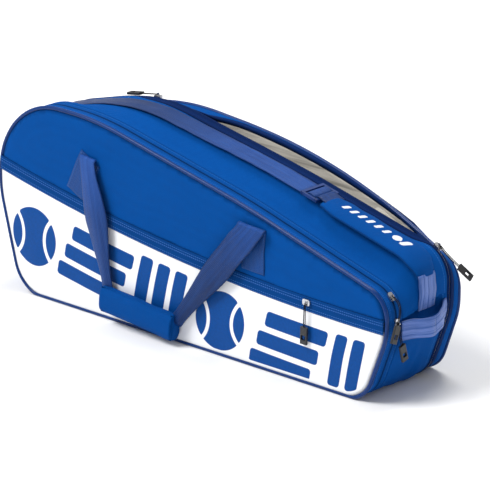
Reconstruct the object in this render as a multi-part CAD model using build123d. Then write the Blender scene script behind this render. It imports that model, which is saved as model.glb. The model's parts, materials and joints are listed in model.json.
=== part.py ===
"""Racket tournament bag, every sub-part its own node.

Millimetres. X runs along the bag towards the racket-handle end, Y from the front panel to the back
panel, Z up, with the floor at z = 0 and the origin on the floor under the middle of the bag.
"""

from build123d import *
from math import atan2, cos, degrees, hypot, pi, radians, sin, sqrt, tan
import os

os.makedirs("parts", exist_ok=True)

# ---------------------------------------------------------------- driving dimensions
# Side outlines in X, Z: corner point and its radius, starting at the head end of the base.
FRONT_SIDE = [((-337, 0), 60), ((-376, 153), 150), ((-376, 305), 125), ((-175, 303), 500),
              ((120, 235), 1500), ((376, 159), 42), ((376, 103), 100), ((338, 0), 50)]
MIDDLE = [((-340, 0), 60), ((-380, 145), 150), ((-380, 262), 100), ((-165, 317), 350),
          ((120, 261), 1500), ((380, 192), 50), ((380, 110), 100), ((341, 0), 50)]
BACK_SIDE = [((-337, 0), 60), ((-376, 140), 150), ((-376, 250), 100), ((-168, 296), 400),
             ((125, 264), 1200), ((376, 163), 45), ((376, 103), 100), ((338, 0), 50)]

WALL = 2.2                 # gusset: fabric, foam and lining
PIPE_R = 3.0               # piping round both side panels
REACH = 400                # half length of the cutting regions, past both ends
FOOT = 290                 # half length of the flat base
BASE_WALL = 2.5
CLEAR = 0.3                # between pieces that move apart

# Front to back.
PANEL_Y = -87              # outer face of the front panel
PANEL_T = 6.0              # padded front panel
BAND_Y = -80.9             # behind the front piping
FRONT_TAPE_Y = -70
FRONT_SPLIT_Y = -65        # the front zip's centre line
CORE_BAND_Y = -60
RISE_Y = (-46, -10)        # the top rises to the middle outline between these
DIVIDER_Y = (-8, -4)
LINING_T = 1.4
TAPE_W = 5.0               # one side of a zip tape that shows
LIP_END, LIP_MID = 48, 41  # rear mouth's front lip
MOUTH_X = (-165, 350)      # ends of the open mouth
MOUTH_BACK = 86            # the back lip at the middle of the mouth
SHOULDER_Y = 78            # from here back the rear gusset keeps the back outline
BACK_END, BACK_MID = 75, 102   # the back panel bows out
BACK_T = 6.0

# Pocket on the lower front panel: its zip follows a wide arc.
POCKET_ARC = (345, 3350)   # arc centre in X, Z
POCKET_TOP_R = 3240
POCKET_ZIP_R = 3228
POCKET_BAND_R = 3221
POCKET_END = 352           # half length of the zip
POCKET_FABRIC = 2.0

# Carry handles: fold points, where the straps meet the grip, and the webbing.
WEB_T = 1.8
WEB_W = 43
FOLD_L, FOLD_R = (-179, 243), (140, 209)
GRIP_L, GRIP_R = (-142, 41), (-4, 29)
PATCH_L, PATCH_R = (-212, 182), (137, 144)
FOLD_TUBE_R = 5.0
FOLD_Y = -94.2
GRIP_H, GRIP_T = 40, 22
GRIP_Y = -101.5
REAR_FOLD_Y = 108.5
REAR_GRIP_Y = 115

# Shoulder strap on the top.
STRAP_Y = (-20, 17)
STRAP_X = (-400, 184)
STRAP_FOOT_Z = 214
PAD_Y = (-30, 20)
PAD_X0, PAD_Z0 = 208, 168
PAD_T = 10
LOCK_X = 183
LOCK_SIZE = (30, 48, 4)

# Grab handle on the handle end.
GRAB_Z, GRAB_H = 109, 28
GRAB_X, GRAB_OUT = 391, 401
GRAB_Y = (-44, 28)

# Zip sliders and pulls.
SLIDER = (13, 9, 3)
EYE_R, EYE_HOLE_R, EYE_T = 2.4, 1.0, 1.2
PULL_CORD_R = 0.7
STRAND = 1.4               # each strand of a pull's cord from its middle
EYE_BEND = 1.38            # the cord's turn through the eye
PULL_GRIP = (12, 25, 4)


# ---------------------------------------------------------------- shapes shared by many nodes
def outline(shape, y, inset=0.0, foot=0.0):
    """The side outline as a face at y, drawn in by inset, with its bottom edge at foot."""
    corners = [(x, max(z, foot)) for (x, z), _ in shape]
    wire = FilletPolyline(*corners, radius=[r for _, r in shape], close=True)
    face = make_face(wire)
    if inset:
        face = offset(face, amount=-inset)
    return Plane.XZ.offset(-y) * face


def slab(shape, y0, y1, inset=0.0, foot=0.0):
    return extrude(outline(shape, y1, inset, foot), amount=y1 - y0)


def taper(shape_a, shape_b, y0, y1, inset=0.0):
    return loft([outline(shape_a, y0, inset), outline(shape_b, y1, inset)], ruled=True)


def ring(shape, y0, y1, wall=WALL, inset=0.0):
    return slab(shape, y0, y1, inset) - slab(shape, y0 - 1, y1 + 1, inset + wall)


def course(y_end, y_mid, x0=-REACH, x1=REACH):
    """A line along the bag in plan that bows from y_end to y_mid between x0 and x1."""
    edges = [ThreePointArc((x0, y_end), ((x0 + x1) / 2, y_mid), (x1, y_end))]
    if x0 > -REACH:
        edges.insert(0, Line((-REACH, y_end), (x0, y_end)))
    if x1 < REACH:
        edges.append(Line((x1, y_end), (REACH, y_end)))
    return edges


def between(front, back, z0=-10, z1=400):
    """Everything between two courses, from z0 to z1."""
    ends = [Line(front[0] @ 0, back[0] @ 0), Line(front[-1] @ 1, back[-1] @ 1)]
    return Pos(0, 0, z0) * extrude(make_face(front + back + ends), amount=z1 - z0)


def straight(y):
    return [Line((-REACH, y), (REACH, y))]


def back_course(out=0.0):
    """The back panel's outer face, moved out by out."""
    return course(BACK_END + out, BACK_MID + out, -376, 376)


def block(x0, x1, y0, y1, z0, z1):
    size = (x1 - x0, y1 - y0, z1 - z0)
    return Pos((x0 + x1) / 2, (y0 + y1) / 2, (z0 + z1) / 2) * Box(*size)


def corner_arc(shape, i):
    """Centre and radius of one outline corner, in X, Z."""
    (x, z), r = shape[i]
    at = Vector(x, z)
    before = (Vector(*shape[i - 1][0]) - at).normalized()
    after = (Vector(*shape[(i + 1) % len(shape)][0]) - at).normalized()
    half = radians(before.get_angle(after)) / 2
    centre = at + (before + after).normalized() * (r / sin(half))
    return (centre.X, centre.Y), r


def bar(start, end, width, y0, y1):
    """A flat strip on the X, Z plane from start to end, between y0 and y1."""
    length = hypot(end[0] - start[0], end[1] - start[1])
    turn = degrees(atan2(end[1] - start[1], end[0] - start[0]))
    middle = Pos((start[0] + end[0]) / 2, (y0 + y1) / 2, (start[1] + end[1]) / 2)
    return middle * Rot(0, -turn, 0) * Box(length, y1 - y0, width)


def write(**nodes):
    for name, shape in nodes.items():
        solids = shape.solids()
        export_step(solids[0] if len(solids) == 1 else Compound(solids), f"parts/{name}.step")


floor_gap = block(-FOOT, FOOT, -200, 200, -20, 20)   # where the base gusset takes over

# ---------------------------------------------------------------- core: base, gussets, divider
base_top = between(straight(BAND_Y), back_course(-BACK_T - CLEAR), 0, BASE_WALL)
base_gusset = base_top & block(-FOOT + CLEAR, FOOT - CLEAR, -200, 200, -5, 5)
base_board = block(-280, 280, -58, 58, BASE_WALL, BASE_WALL + 3)

front_band_core = ring(FRONT_SIDE, CORE_BAND_Y, RISE_Y[0]) - floor_gap
front_zip_tape_core = ring(FRONT_SIDE, FRONT_SPLIT_Y + CLEAR / 2, CORE_BAND_Y) - floor_gap

rise = taper(FRONT_SIDE, MIDDLE, *RISE_Y) + slab(MIDDLE, RISE_Y[1], 60)
hollow = taper(FRONT_SIDE, MIDDLE, *RISE_Y, inset=WALL) + slab(MIDDLE, RISE_Y[1], 60, WALL)
middle = (rise - hollow - floor_gap) & between(straight(RISE_Y[0]), course(43, 36, *MOUTH_X))
HEAD_X, HANDLE_X = -262, 318
mid_gusset_head = middle & block(-REACH, HEAD_X, -200, 200, -5, 400)
mid_gusset_top = middle & block(HEAD_X, HANDLE_X, -200, 200, 20, 400)
mid_gusset_handle = middle & block(HANDLE_X, REACH, -200, 200, -5, 400)
mid_gusset_head += middle & block(HEAD_X, 0, -200, 200, -5, 20)
mid_gusset_handle += middle & block(0, HANDLE_X, -200, 200, -5, 20)

front_lip = course(LIP_END, LIP_MID, *MOUTH_X)
tape_start = course(LIP_END - TAPE_W, LIP_MID - TAPE_W, *MOUTH_X)
rear_zip_tape_core = (ring(MIDDLE, 20, 60) & between(tape_start, front_lip)) - floor_gap

divider = slab(FRONT_SIDE, *DIVIDER_Y, inset=5) & slab(MIDDLE, *DIVIDER_Y, inset=5)
divider &= block(-REACH, REACH, -50, 50, BASE_WALL + 3.5, 400)
lining_y = (DIVIDER_Y[1], DIVIDER_Y[1] + LINING_T)
lining_front = slab(FRONT_SIDE, *lining_y, inset=7) & slab(MIDDLE, *lining_y, inset=7)
lining_front &= block(-REACH, REACH, -50, 50, BASE_WALL + 4, 400)

# ---------------------------------------------------------------- core: shoulder strap on the top
on_top = slab(MIDDLE, -60, 60, inset=-0.4)
strap_band = slab(MIDDLE, *STRAP_Y, inset=-0.4 - WEB_T) - on_top
strap_webbing = strap_band & block(*STRAP_X, *STRAP_Y, STRAP_FOOT_Z, 400)
strap_webbing -= rise
strap_anchor = (slab(MIDDLE, STRAP_Y[0] - 4, STRAP_Y[1] + 4, inset=-0.4 - WEB_T) - on_top)
strap_anchor &= block(-REACH, -300, -60, 60, STRAP_FOOT_Z - 52, STRAP_FOOT_Z - 0.5)
pad_band = slab(MIDDLE, *PAD_Y, inset=-1.0 - PAD_T) - slab(MIDDLE, -60, 60, inset=-1.0)
shoulder_pad = pad_band & block(PAD_X0, REACH, *PAD_Y, PAD_Z0, 400)
strap_end_tab = slab(MIDDLE, -24, 12, inset=-0.4 - WEB_T) - on_top
strap_end_tab &= block(340, REACH, -60, 60, 127, PAD_Z0 - 0.5)
grab_low, grab_high = GRAB_Z - GRAB_H / 2, GRAB_Z + GRAB_H / 2
grab_handle_tabs = (block(376.3, 378.3, -58, -47, grab_low, grab_high)
                    + block(380.3, 382.3, 31, 41, grab_low, grab_high))

top_slope = degrees(atan2(MIDDLE[4][0][1] - MIDDLE[5][0][1], MIDDLE[5][0][0] - MIDDLE[4][0][0]))
lock_z = MIDDLE[4][0][1] - (LOCK_X - MIDDLE[4][0][0]) * sin(radians(top_slope)) / cos(
    radians(top_slope))
lock = Box(*LOCK_SIZE)
for shift in (-7, 7):
    lock -= Pos(shift, 0, 0) * Box(7, 40, 10)
ladder_lock = Pos(LOCK_X, sum(STRAP_Y) / 2, lock_z) * Rot(0, top_slope, 0) * Pos(0, 0, 5.2) * lock

arch = ThreePointArc((GRAB_X, GRAB_Y[0]), (GRAB_OUT, sum(GRAB_Y) / 2), (GRAB_X, GRAB_Y[1]))
arch_out = ThreePointArc((GRAB_X + WEB_T, GRAB_Y[0]), (GRAB_OUT + WEB_T, sum(GRAB_Y) / 2),
                         (GRAB_X + WEB_T, GRAB_Y[1]))
arch_ends = [Line(arch @ t, arch_out @ t) for t in (0, 1)]
grab_handle = extrude(make_face([arch, arch_out] + arch_ends), amount=GRAB_H)
grab_handle = Pos(0, 0, GRAB_Z - GRAB_H / 2) * grab_handle

write(base_gusset=base_gusset, base_board=base_board, front_band_core=front_band_core,
      front_zip_tape_core=front_zip_tape_core, mid_gusset_head=mid_gusset_head,
      mid_gusset_top=mid_gusset_top, mid_gusset_handle=mid_gusset_handle,
      rear_zip_tape_core=rear_zip_tape_core, divider=divider, lining_front=lining_front,
      strap_webbing=strap_webbing, strap_anchor=strap_anchor, shoulder_pad=shoulder_pad,
      strap_end_tab=strap_end_tab, grab_handle_tabs=grab_handle_tabs, ladder_lock=ladder_lock,
      grab_handle=grab_handle)


# ---------------------------------------------------------------- front section
def pipe_ring(shape, y):
    path = Plane.XZ.offset(-y) * FilletPolyline(
        *[(x, max(z, PIPE_R)) for (x, z), _ in shape], radius=[r for _, r in shape], close=True)
    start = path.edges()[0]
    return sweep(Plane(origin=start @ 0, z_dir=start % 0) * Circle(PIPE_R), path=path)


def arc_disc(radius, y0, y1):
    """Everything above the pocket arc of this radius."""
    disc = Pos(*POCKET_ARC) * Circle(radius)
    return extrude(Plane.XZ.offset(-y1) * disc, amount=y1 - y0)


panel = slab(FRONT_SIDE, PANEL_Y, PANEL_Y + PANEL_T, inset=PIPE_R + 0.1, foot=PIPE_R)
above = arc_disc(POCKET_TOP_R, -120, 0)
front_panel_upper = panel & above
lower = panel - above
pocket_front = lower & block(-REACH, REACH, PANEL_Y, PANEL_Y + POCKET_FABRIC, 0, 400)
pocket_backing = lower & block(-REACH, REACH, PANEL_Y + POCKET_FABRIC + 0.5, 0, 0, 400)
front_piping = pipe_ring(FRONT_SIDE, PANEL_Y + PIPE_R)
front_band_panel = ring(FRONT_SIDE, BAND_Y, FRONT_TAPE_Y) - floor_gap
front_zip_tape_panel = ring(FRONT_SIDE, FRONT_TAPE_Y, FRONT_SPLIT_Y - CLEAR / 2) - floor_gap

zip_span = block(-POCKET_END, POCKET_END, -120, 0, 0, 400)


def pocket_strip(r0, r1, thick):
    strip = arc_disc(r0, PANEL_Y - thick, PANEL_Y) - arc_disc(r1, -120, 0)
    return strip & zip_span


pocket_zip_coil = pocket_strip(POCKET_ZIP_R + 2.5, POCKET_ZIP_R - 2.5, 1.4)
pocket_zip_tapes = (pocket_strip(POCKET_TOP_R, POCKET_ZIP_R + 2.5, 0.8)
                    + pocket_strip(POCKET_ZIP_R - 2.5, POCKET_BAND_R, 0.8))
front_handle_patches = (bar(PATCH_L, FOLD_L, WEB_W, PANEL_Y - WEB_T, PANEL_Y)
                        + bar(PATCH_R, FOLD_R, WEB_W, PANEL_Y - WEB_T, PANEL_Y))
front_handle_patches &= arc_disc(POCKET_BAND_R - 0.5, -120, 0)

write(front_panel_upper=front_panel_upper, pocket_front=pocket_front,
      pocket_backing=pocket_backing, front_piping=front_piping,
      front_band_panel=front_band_panel, front_zip_tape_panel=front_zip_tape_panel,
      pocket_zip_coil=pocket_zip_coil, pocket_zip_tapes=pocket_zip_tapes,
      front_handle_patches=front_handle_patches)


# ---------------------------------------------------------------- carry handles
def hanging_strap(fold, grip, y_fold, side):
    """Webbing from its fold tube down to the grip; side is -1 in front of the bag, 1 behind it.

    Its top edge lies along the fold axis, so nothing stands above the axis when it swings.
    """
    axis = (Vector(*FOLD_R) - Vector(*FOLD_L)).normalized()
    down = Vector(*grip) - Vector(*fold)
    width = WEB_W / sin(radians(axis.get_angle(down)))
    half = axis * width / 2
    top, foot = Vector(*fold), Vector(*grip)
    sheet = make_face(Polyline(top - half, top + half, foot + half, foot - half, close=True))
    face_y = y_fold + side * FOLD_TUBE_R
    y0, y1 = sorted((face_y, face_y - side * WEB_T))
    across = degrees(atan2(-axis.Y, axis.X))
    tube = Pos(fold[0], y_fold, fold[1]) * Rot(0, across, 0) * Rot(0, 90, 0) * Cylinder(
        FOLD_TUBE_R, width)
    return extrude(Plane.XZ.offset(-y1) * sheet, amount=y1 - y0) + tube


def grip_body(y, y0, y1):
    """The padded sleeve between the two straps, cut to y0..y1."""
    length = hypot(GRIP_R[0] - GRIP_L[0], GRIP_R[1] - GRIP_L[1])
    turn = degrees(atan2(GRIP_R[1] - GRIP_L[1], GRIP_R[0] - GRIP_L[0]))
    sleeve = extrude(RectangleRounded(GRIP_T, GRIP_H, 9), amount=length / 2, both=True)
    at = Pos((GRIP_L[0] + GRIP_R[0]) / 2, y, (GRIP_L[1] + GRIP_R[1]) / 2) * Rot(0, -turn, 0)
    sleeve = at * Rot(0, 90, 0) * Rot(0, 0, 90) * sleeve
    return sleeve & block(-REACH, REACH, y0, y1, -50, 400)


def past_grip(point, fold):
    """The strap stops just short of the sleeve."""
    length = hypot(fold[0] - point[0], fold[1] - point[1])
    k = (GRIP_H / 2 - 12) / length
    return (point[0] + (fold[0] - point[0]) * k, point[1] + (fold[1] - point[1]) * k)


sleeve_front = grip_body(GRIP_Y, -200, 0)
flap_cut = GRIP_Y - GRIP_T / 2 + 5
handle_wrap = grip_body(GRIP_Y, flap_cut, 0)
wrap_flap = grip_body(GRIP_Y, -200, flap_cut - CLEAR)
handle_strap_left = hanging_strap(FOLD_L, past_grip(GRIP_L, FOLD_L), FOLD_Y, -1) - sleeve_front
handle_strap_right = hanging_strap(FOLD_R, past_grip(GRIP_R, FOLD_R), FOLD_Y, -1) - sleeve_front

rear_handle_grip = grip_body(REAR_GRIP_Y, 0, 200)
rear_strap_left = hanging_strap(FOLD_L, past_grip(GRIP_L, FOLD_L), REAR_FOLD_Y, 1)
rear_strap_left -= rear_handle_grip
rear_strap_right = hanging_strap(FOLD_R, past_grip(GRIP_R, FOLD_R), REAR_FOLD_Y, 1)
rear_strap_right -= rear_handle_grip

write(handle_wrap=handle_wrap, wrap_flap=wrap_flap, handle_strap_left=handle_strap_left,
      handle_strap_right=handle_strap_right, rear_handle_grip=rear_handle_grip,
      rear_strap_left=rear_strap_left, rear_strap_right=rear_strap_right)

# ---------------------------------------------------------------- rear section
back_lip = course(LIP_END + CLEAR, MOUTH_BACK, *MOUTH_X)
lip_seam = course(LIP_END + CLEAR + TAPE_W, MOUTH_BACK + TAPE_W, *MOUTH_X)
skin = taper(MIDDLE, BACK_SIDE, 40, SHOULDER_Y) + slab(BACK_SIDE, SHOULDER_Y, 112)
core_hollow = (taper(MIDDLE, BACK_SIDE, 40, SHOULDER_Y, inset=WALL)
               + slab(BACK_SIDE, SHOULDER_Y, 112, inset=WALL))
rear_shell = skin - core_hollow - floor_gap
rear_zip_tape_panel = rear_shell & between(back_lip, lip_seam)
rear_gusset = rear_shell & between(lip_seam, back_course(-BACK_T))
back_panel = slab(BACK_SIDE, 50, 120, inset=PIPE_R + 0.1, foot=PIPE_R)
back_panel &= between(back_course(-BACK_T + 1), back_course(1))
pipe_outer = slab(BACK_SIDE, 50, 120, inset=-PIPE_R, foot=PIPE_R)
pipe_inner = slab(BACK_SIDE, 50, 120, inset=PIPE_R, foot=PIPE_R)
rear_piping = (pipe_outer - pipe_inner) & between(back_course(-BACK_T + 0.1), back_course(0.5))
lining_back = slab(BACK_SIDE, 50, 120, inset=8, foot=PIPE_R)
lining_back &= between(back_course(-BACK_T + 0.8 - LINING_T), back_course(-BACK_T + 0.8))
patch_bars = bar(PATCH_L, FOLD_L, WEB_W, 60, 140) + bar(PATCH_R, FOLD_R, WEB_W, 60, 140)
rear_handle_patches = patch_bars & between(back_course(1.1), back_course(1.1 + WEB_T))

write(rear_zip_tape_panel=rear_zip_tape_panel, rear_gusset=rear_gusset, back_panel=back_panel,
      rear_piping=rear_piping, lining_back=lining_back, rear_handle_patches=rear_handle_patches)


# ---------------------------------------------------------------- zip sliders and their pulls
def slider(plane, eye_along):
    """A slider lying on plane (x along the zip, z outward); its eye's hole runs along or across."""
    body = Pos(0, 0, 0.3 + SLIDER[2] / 2) * Box(*SLIDER)
    body = fillet(body.edges().filter_by(Axis.Z), 3)
    eye = Cylinder(EYE_R, EYE_T) - Cylinder(EYE_HOLE_R, 10)
    eye = (Rot(0, 90, 0) if eye_along else Rot(90, 0, 0)) * eye
    return plane * (body + Pos(0, 0, 0.3 + SLIDER[2] + EYE_R - 0.4) * eye)


def eye_of(plane):
    return (plane * Pos(0, 0, 0.3 + SLIDER[2] + EYE_R - 0.4)).position


def bend_radius(corner):
    """The largest arc that the two runs at a cord's corner allow."""
    run_in, run_out = corner[1] - corner[0], corner[2] - corner[1]
    half_turn = radians(run_in.get_angle(run_out)) / 2
    return 0.45 * min(run_in.length, run_out.length) / tan(half_turn)


def pull(eye, points, side):
    """A doubled cord from the eye through points, its strands apart along side, and its grip."""
    down = [Vector(*p) for p in points]
    along = (down[-1] - (down[-2] if len(down) > 1 else eye)).normalized()
    side = Vector(*side)
    square = (side - along * side.dot(along)).normalized()
    shifts = [side * STRAND] * (len(down) - 1) + [square * STRAND]
    path = [p + s for p, s in zip(reversed(down), reversed(shifts))]
    path += [eye + side * STRAND, eye - side * STRAND] + [p - s for p, s in zip(down, shifts)]
    bends = [bend_radius(path[k:k + 3]) for k in range(len(down) - 1)]
    wire = FilletPolyline(*path, radius=bends + [EYE_BEND, EYE_BEND] + bends[::-1])
    cord = sweep(Plane(origin=wire @ 0, z_dir=wire % 0) * Circle(PULL_CORD_R), path=wire)
    section = pi * PULL_CORD_R ** 2
    print("pull cord length", round(wire.length, 2), "from volume", round(cord.volume / section, 2),
          "radii", [round(r, 1) for r in bends], "eye", eye)
    wide, long, thick = PULL_GRIP
    frame = Plane(origin=down[-1], x_dir=square, z_dir=along)
    grip = extrude(RectangleRounded(wide, thick, 1.2), amount=long)
    grip -= Pos(0, 0, long * 0.62) * Box(wide - 4.5, 20, 7)
    return cord, frame * grip


def on_corner(shape, i, angle, y):
    """A plane on one outline corner at this angle from +X, x along the outline."""
    (cx, cz), r = corner_arc(shape, i)
    out = Vector(cos(radians(angle)), 0, sin(radians(angle)))
    return Plane(origin=Vector(cx, y, cz) + out * r, x_dir=Vector(out.Z, 0, -out.X), z_dir=out)


pocket_x = 238
pocket_z = POCKET_ARC[1] - sqrt(POCKET_ZIP_R ** 2 - (pocket_x - POCKET_ARC[0]) ** 2)
pocket_plane = Plane(origin=(pocket_x, PANEL_Y - 1.4, pocket_z), x_dir=(1, 0, 0), z_dir=(0, -1, 0))
pocket_eye = eye_of(pocket_plane)
pocket_slider = slider(pocket_plane, True)
pocket_pull_cord, pocket_pull_grip = pull(
    pocket_eye, [pocket_eye + Vector(-1, 0, -36)], (1, 0, 0))

upper_plane = on_corner(FRONT_SIDE, 5, 41, FRONT_SPLIT_Y)
upper_eye = eye_of(upper_plane)
front_slider_upper = slider(upper_plane, False)
front_pull_upper_cord, front_pull_upper_grip = pull(
    upper_eye, [(387, FRONT_SPLIT_Y, 146), (387.5, FRONT_SPLIT_Y - 10, 122)], (0, 1, 0))

lower_plane = on_corner(FRONT_SIDE, 6, 0, FRONT_SPLIT_Y)
lower_eye = eye_of(lower_plane)
front_slider_lower = slider(lower_plane, False)
front_pull_lower_cord, front_pull_lower_grip = pull(
    lower_eye, [lower_eye + Vector(1.2, 0, -11), lower_eye + Vector(0.7, 7, -33)], (0, 1, 0))

mouth_y = LIP_END + CLEAR / 2
rear_plane = on_corner(MIDDLE, 5, 58, mouth_y)
rear_eye = eye_of(rear_plane)
rear_slider_handle = slider(rear_plane, False)
rear_pull_handle_cord, rear_pull_handle_grip = pull(
    rear_eye, [(373.5, mouth_y, 188.5), (386, mouth_y + 11, 172)], (0, 1, 0))

head_plane = on_corner(MIDDLE, 3, 93, mouth_y)
head_eye = eye_of(head_plane)
rear_slider_head = slider(head_plane, False)
head_rest = on_corner(MIDDLE, 3, 98.6, mouth_y)
rear_pull_head_cord, rear_pull_head_grip = pull(
    head_eye, [head_rest.origin + head_rest.z_dir * 3.6], (0, 1, 0))

write(pocket_slider=pocket_slider, pocket_pull_cord=pocket_pull_cord,
      pocket_pull_grip=pocket_pull_grip, front_slider_upper=front_slider_upper,
      front_pull_upper_cord=front_pull_upper_cord, front_pull_upper_grip=front_pull_upper_grip,
      front_slider_lower=front_slider_lower, front_pull_lower_cord=front_pull_lower_cord,
      front_pull_lower_grip=front_pull_lower_grip, rear_slider_handle=rear_slider_handle,
      rear_pull_handle_cord=rear_pull_handle_cord, rear_pull_handle_grip=rear_pull_handle_grip,
      rear_slider_head=rear_slider_head, rear_pull_head_cord=rear_pull_head_cord,
      rear_pull_head_grip=rear_pull_head_grip)
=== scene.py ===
"""Racket tournament bag: the soft shell, straps, pads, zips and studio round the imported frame.

Shapes are worked out in millimetres, in the frame's axes, and scaled to metres as meshes are made.
"""

import json
from math import cos, pi, radians, sin

import bpy
import numpy as np
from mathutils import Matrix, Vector, geometry, noise

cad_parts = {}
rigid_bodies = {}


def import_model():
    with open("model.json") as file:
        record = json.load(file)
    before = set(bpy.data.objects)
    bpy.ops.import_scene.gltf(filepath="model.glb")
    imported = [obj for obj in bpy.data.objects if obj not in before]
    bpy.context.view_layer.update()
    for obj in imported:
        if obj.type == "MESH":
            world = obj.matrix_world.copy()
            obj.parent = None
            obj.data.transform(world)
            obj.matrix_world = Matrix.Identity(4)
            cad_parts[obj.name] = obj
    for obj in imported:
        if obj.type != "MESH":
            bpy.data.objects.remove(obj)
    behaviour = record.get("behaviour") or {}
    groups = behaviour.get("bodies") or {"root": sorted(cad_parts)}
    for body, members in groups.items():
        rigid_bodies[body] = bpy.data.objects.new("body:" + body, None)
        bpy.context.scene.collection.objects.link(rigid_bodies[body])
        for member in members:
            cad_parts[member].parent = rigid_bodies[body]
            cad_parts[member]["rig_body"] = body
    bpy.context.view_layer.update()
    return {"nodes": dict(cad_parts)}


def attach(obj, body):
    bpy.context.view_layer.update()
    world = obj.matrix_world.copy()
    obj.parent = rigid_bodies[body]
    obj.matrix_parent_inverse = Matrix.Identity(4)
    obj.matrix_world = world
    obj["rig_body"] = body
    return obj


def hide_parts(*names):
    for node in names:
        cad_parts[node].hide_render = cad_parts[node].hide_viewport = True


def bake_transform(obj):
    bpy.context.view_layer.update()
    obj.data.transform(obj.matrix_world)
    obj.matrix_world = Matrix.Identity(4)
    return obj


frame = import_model()
nodes = frame["nodes"]
MM = 0.001

# ---------------------------------------------------------------- the bag's driving shapes, mm
FRONT_SIDE = [((-337, 0), 60), ((-376, 153), 150), ((-376, 305), 125), ((-175, 303), 500),
              ((120, 235), 1500), ((376, 159), 42), ((376, 103), 100), ((338, 0), 50)]
MIDDLE = [((-340, 0), 60), ((-380, 145), 150), ((-380, 262), 100), ((-165, 317), 350),
          ((120, 261), 1500), ((380, 192), 50), ((380, 110), 100), ((341, 0), 50)]
BACK_SIDE = [((-337, 0), 60), ((-376, 140), 150), ((-376, 250), 100), ((-168, 296), 400),
             ((125, 264), 1200), ((376, 163), 45), ((376, 103), 100), ((338, 0), 50)]
PANEL_Y, LIP_END = -87.0, 48.0      # depth of the front, and of the rear mouth's ends
MOUTH = (-165.0, 350.0)             # where the rear mouth starts and ends along the top
POCKET_ARC = (345.0, 3350.0)        # centre of the arc that the pocket's zip follows
POCKET_TOP_R, POCKET_BAND_R = 3240.0, 3221.0
EDGE_IN, FLOOR_GAP = 2.6, 3.0       # how far the outer cloths stay inside the outline
FOLD_L, FOLD_R = (-179, 243), (140, 209)
GRIP_L, GRIP_R = (-142, 41), (-4, 29)
PATCH_L, PATCH_R = (-212, 182), (137, 144)
FRONT_FOLD_Y, REAR_FOLD_Y = -94.2, 108.5
FRONT_GRIP_Y, REAR_GRIP_Y, FLAP_CUT_Y = -101.5, 115.0, -107.5
WEB = 43.0                          # width of the carry handles' webbing
STRAP_Y, PAD_Y = (-20.0, 17.0), (-30.0, 20.0)
CORD_D = 0.0014                     # metres
# How many steps round each corner of an outline, and along the side after it.
ARC_STEPS = (12, 8, 22, 16, 12, 18, 16, 14)
EDGE_STEPS = (18, 10, 16, 40, 36, 12, 14, 70)


DEEP = np.array([0, 1.0, 0])        # the direction from the front to the back
UP = (0.0, 0.0, 1.0)


# ---------------------------------------------------------------- small helpers
def unit(v):
    """Vectors scaled to length 1."""
    v = np.asarray(v, float)
    return v / np.maximum(np.linalg.norm(v, axis=-1, keepdims=True), 1e-9)


def smooth(t):
    """0 to 1 as t goes from 0 to 1, easing in and out."""
    t = np.clip(t, 0.0, 1.0)
    return t * t * (3 - 2 * t)


def run_along(points):
    """Distance along a path, from its first point."""
    return np.r_[0, np.cumsum(np.linalg.norm(np.diff(points, axis=0), axis=1))]


def resampled(values, at, run):
    """Rows of three values, known at the distances run, worked out at other distances."""
    return np.array([np.interp(at, run, values[:, k]) for k in range(3)]).T


def upright(p):
    """Points of x and z as x, 0, z."""
    return np.c_[p[:, 0], np.zeros(len(p)), p[:, 1]]


def rounded(shape):
    """Points and outward normals round a side outline; every outline gets the same number."""
    points, normals, arcs = [], [], []
    count = len(shape)
    for i, (corner, radius) in enumerate(shape):
        corner = np.array(corner, float)
        a = unit(np.array(shape[i - 1][0], float) - corner)
        b = unit(np.array(shape[(i + 1) % count][0], float) - corner)
        half = np.arccos(np.clip(a @ b, -1, 1)) / 2
        centre = corner + unit(a + b) * radius / sin(half)
        start, end = corner + a * radius / np.tan(half), corner + b * radius / np.tan(half)
        arcs.append((centre, radius, unit(start - centre), unit(end - centre), end, start))
    for i, (centre, radius, n0, n1, end, _) in enumerate(arcs):
        turn = np.arctan2(n0[0] * n1[1] - n0[1] * n1[0], n0 @ n1)
        for k in range(ARC_STEPS[i] + 1):
            q = turn * k / ARC_STEPS[i]
            n = np.array([n0[0] * cos(q) - n0[1] * sin(q), n0[0] * sin(q) + n0[1] * cos(q)])
            points.append(centre + radius * n)
            normals.append(n)
        nxt = arcs[(i + 1) % count][5]
        for k in range(1, EDGE_STEPS[i]):
            points.append(end + (nxt - end) * k / EDGE_STEPS[i])
            normals.append(n1)
    return np.array(points), np.array(normals)


FRONT_P, FRONT_N = rounded(FRONT_SIDE)
MID_P, MID_N = rounded(MIDDLE)
BACK_P, BACK_N = rounded(BACK_SIDE)
COUNT = len(MID_P)
ALONG = run_along(MID_P)
ON_TOP = MID_P[:, 1] > 100
ON_BASE = (np.abs(MID_P[:, 0]) < 288) & (MID_P[:, 1] < 5)


def bowed(x, x0, x1, y_end, y_mid):
    """Depth of a line that bows from y_end to y_mid between x0 and x1, on a circle."""
    half, rise = (x1 - x0) / 2, y_mid - y_end
    radius = (half * half + rise * rise) / (2 * abs(rise))
    inside = np.clip(np.abs(np.asarray(x, float) - (x0 + x1) / 2), 0, half)
    return y_end + np.sign(rise) * (np.sqrt(radius ** 2 - inside ** 2) - radius + abs(rise))


FRONT_LIP = np.where(ON_TOP, bowed(MID_P[:, 0], *MOUTH, LIP_END, 41), LIP_END)
BACK_LIP = np.where(ON_TOP, bowed(MID_P[:, 0], *MOUTH, LIP_END + 0.3, 86), LIP_END + 0.3)


def back_y(x):
    """Depth of the back panel's seam, which bows out."""
    return bowed(x, -376, 376, 75, 102)


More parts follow.
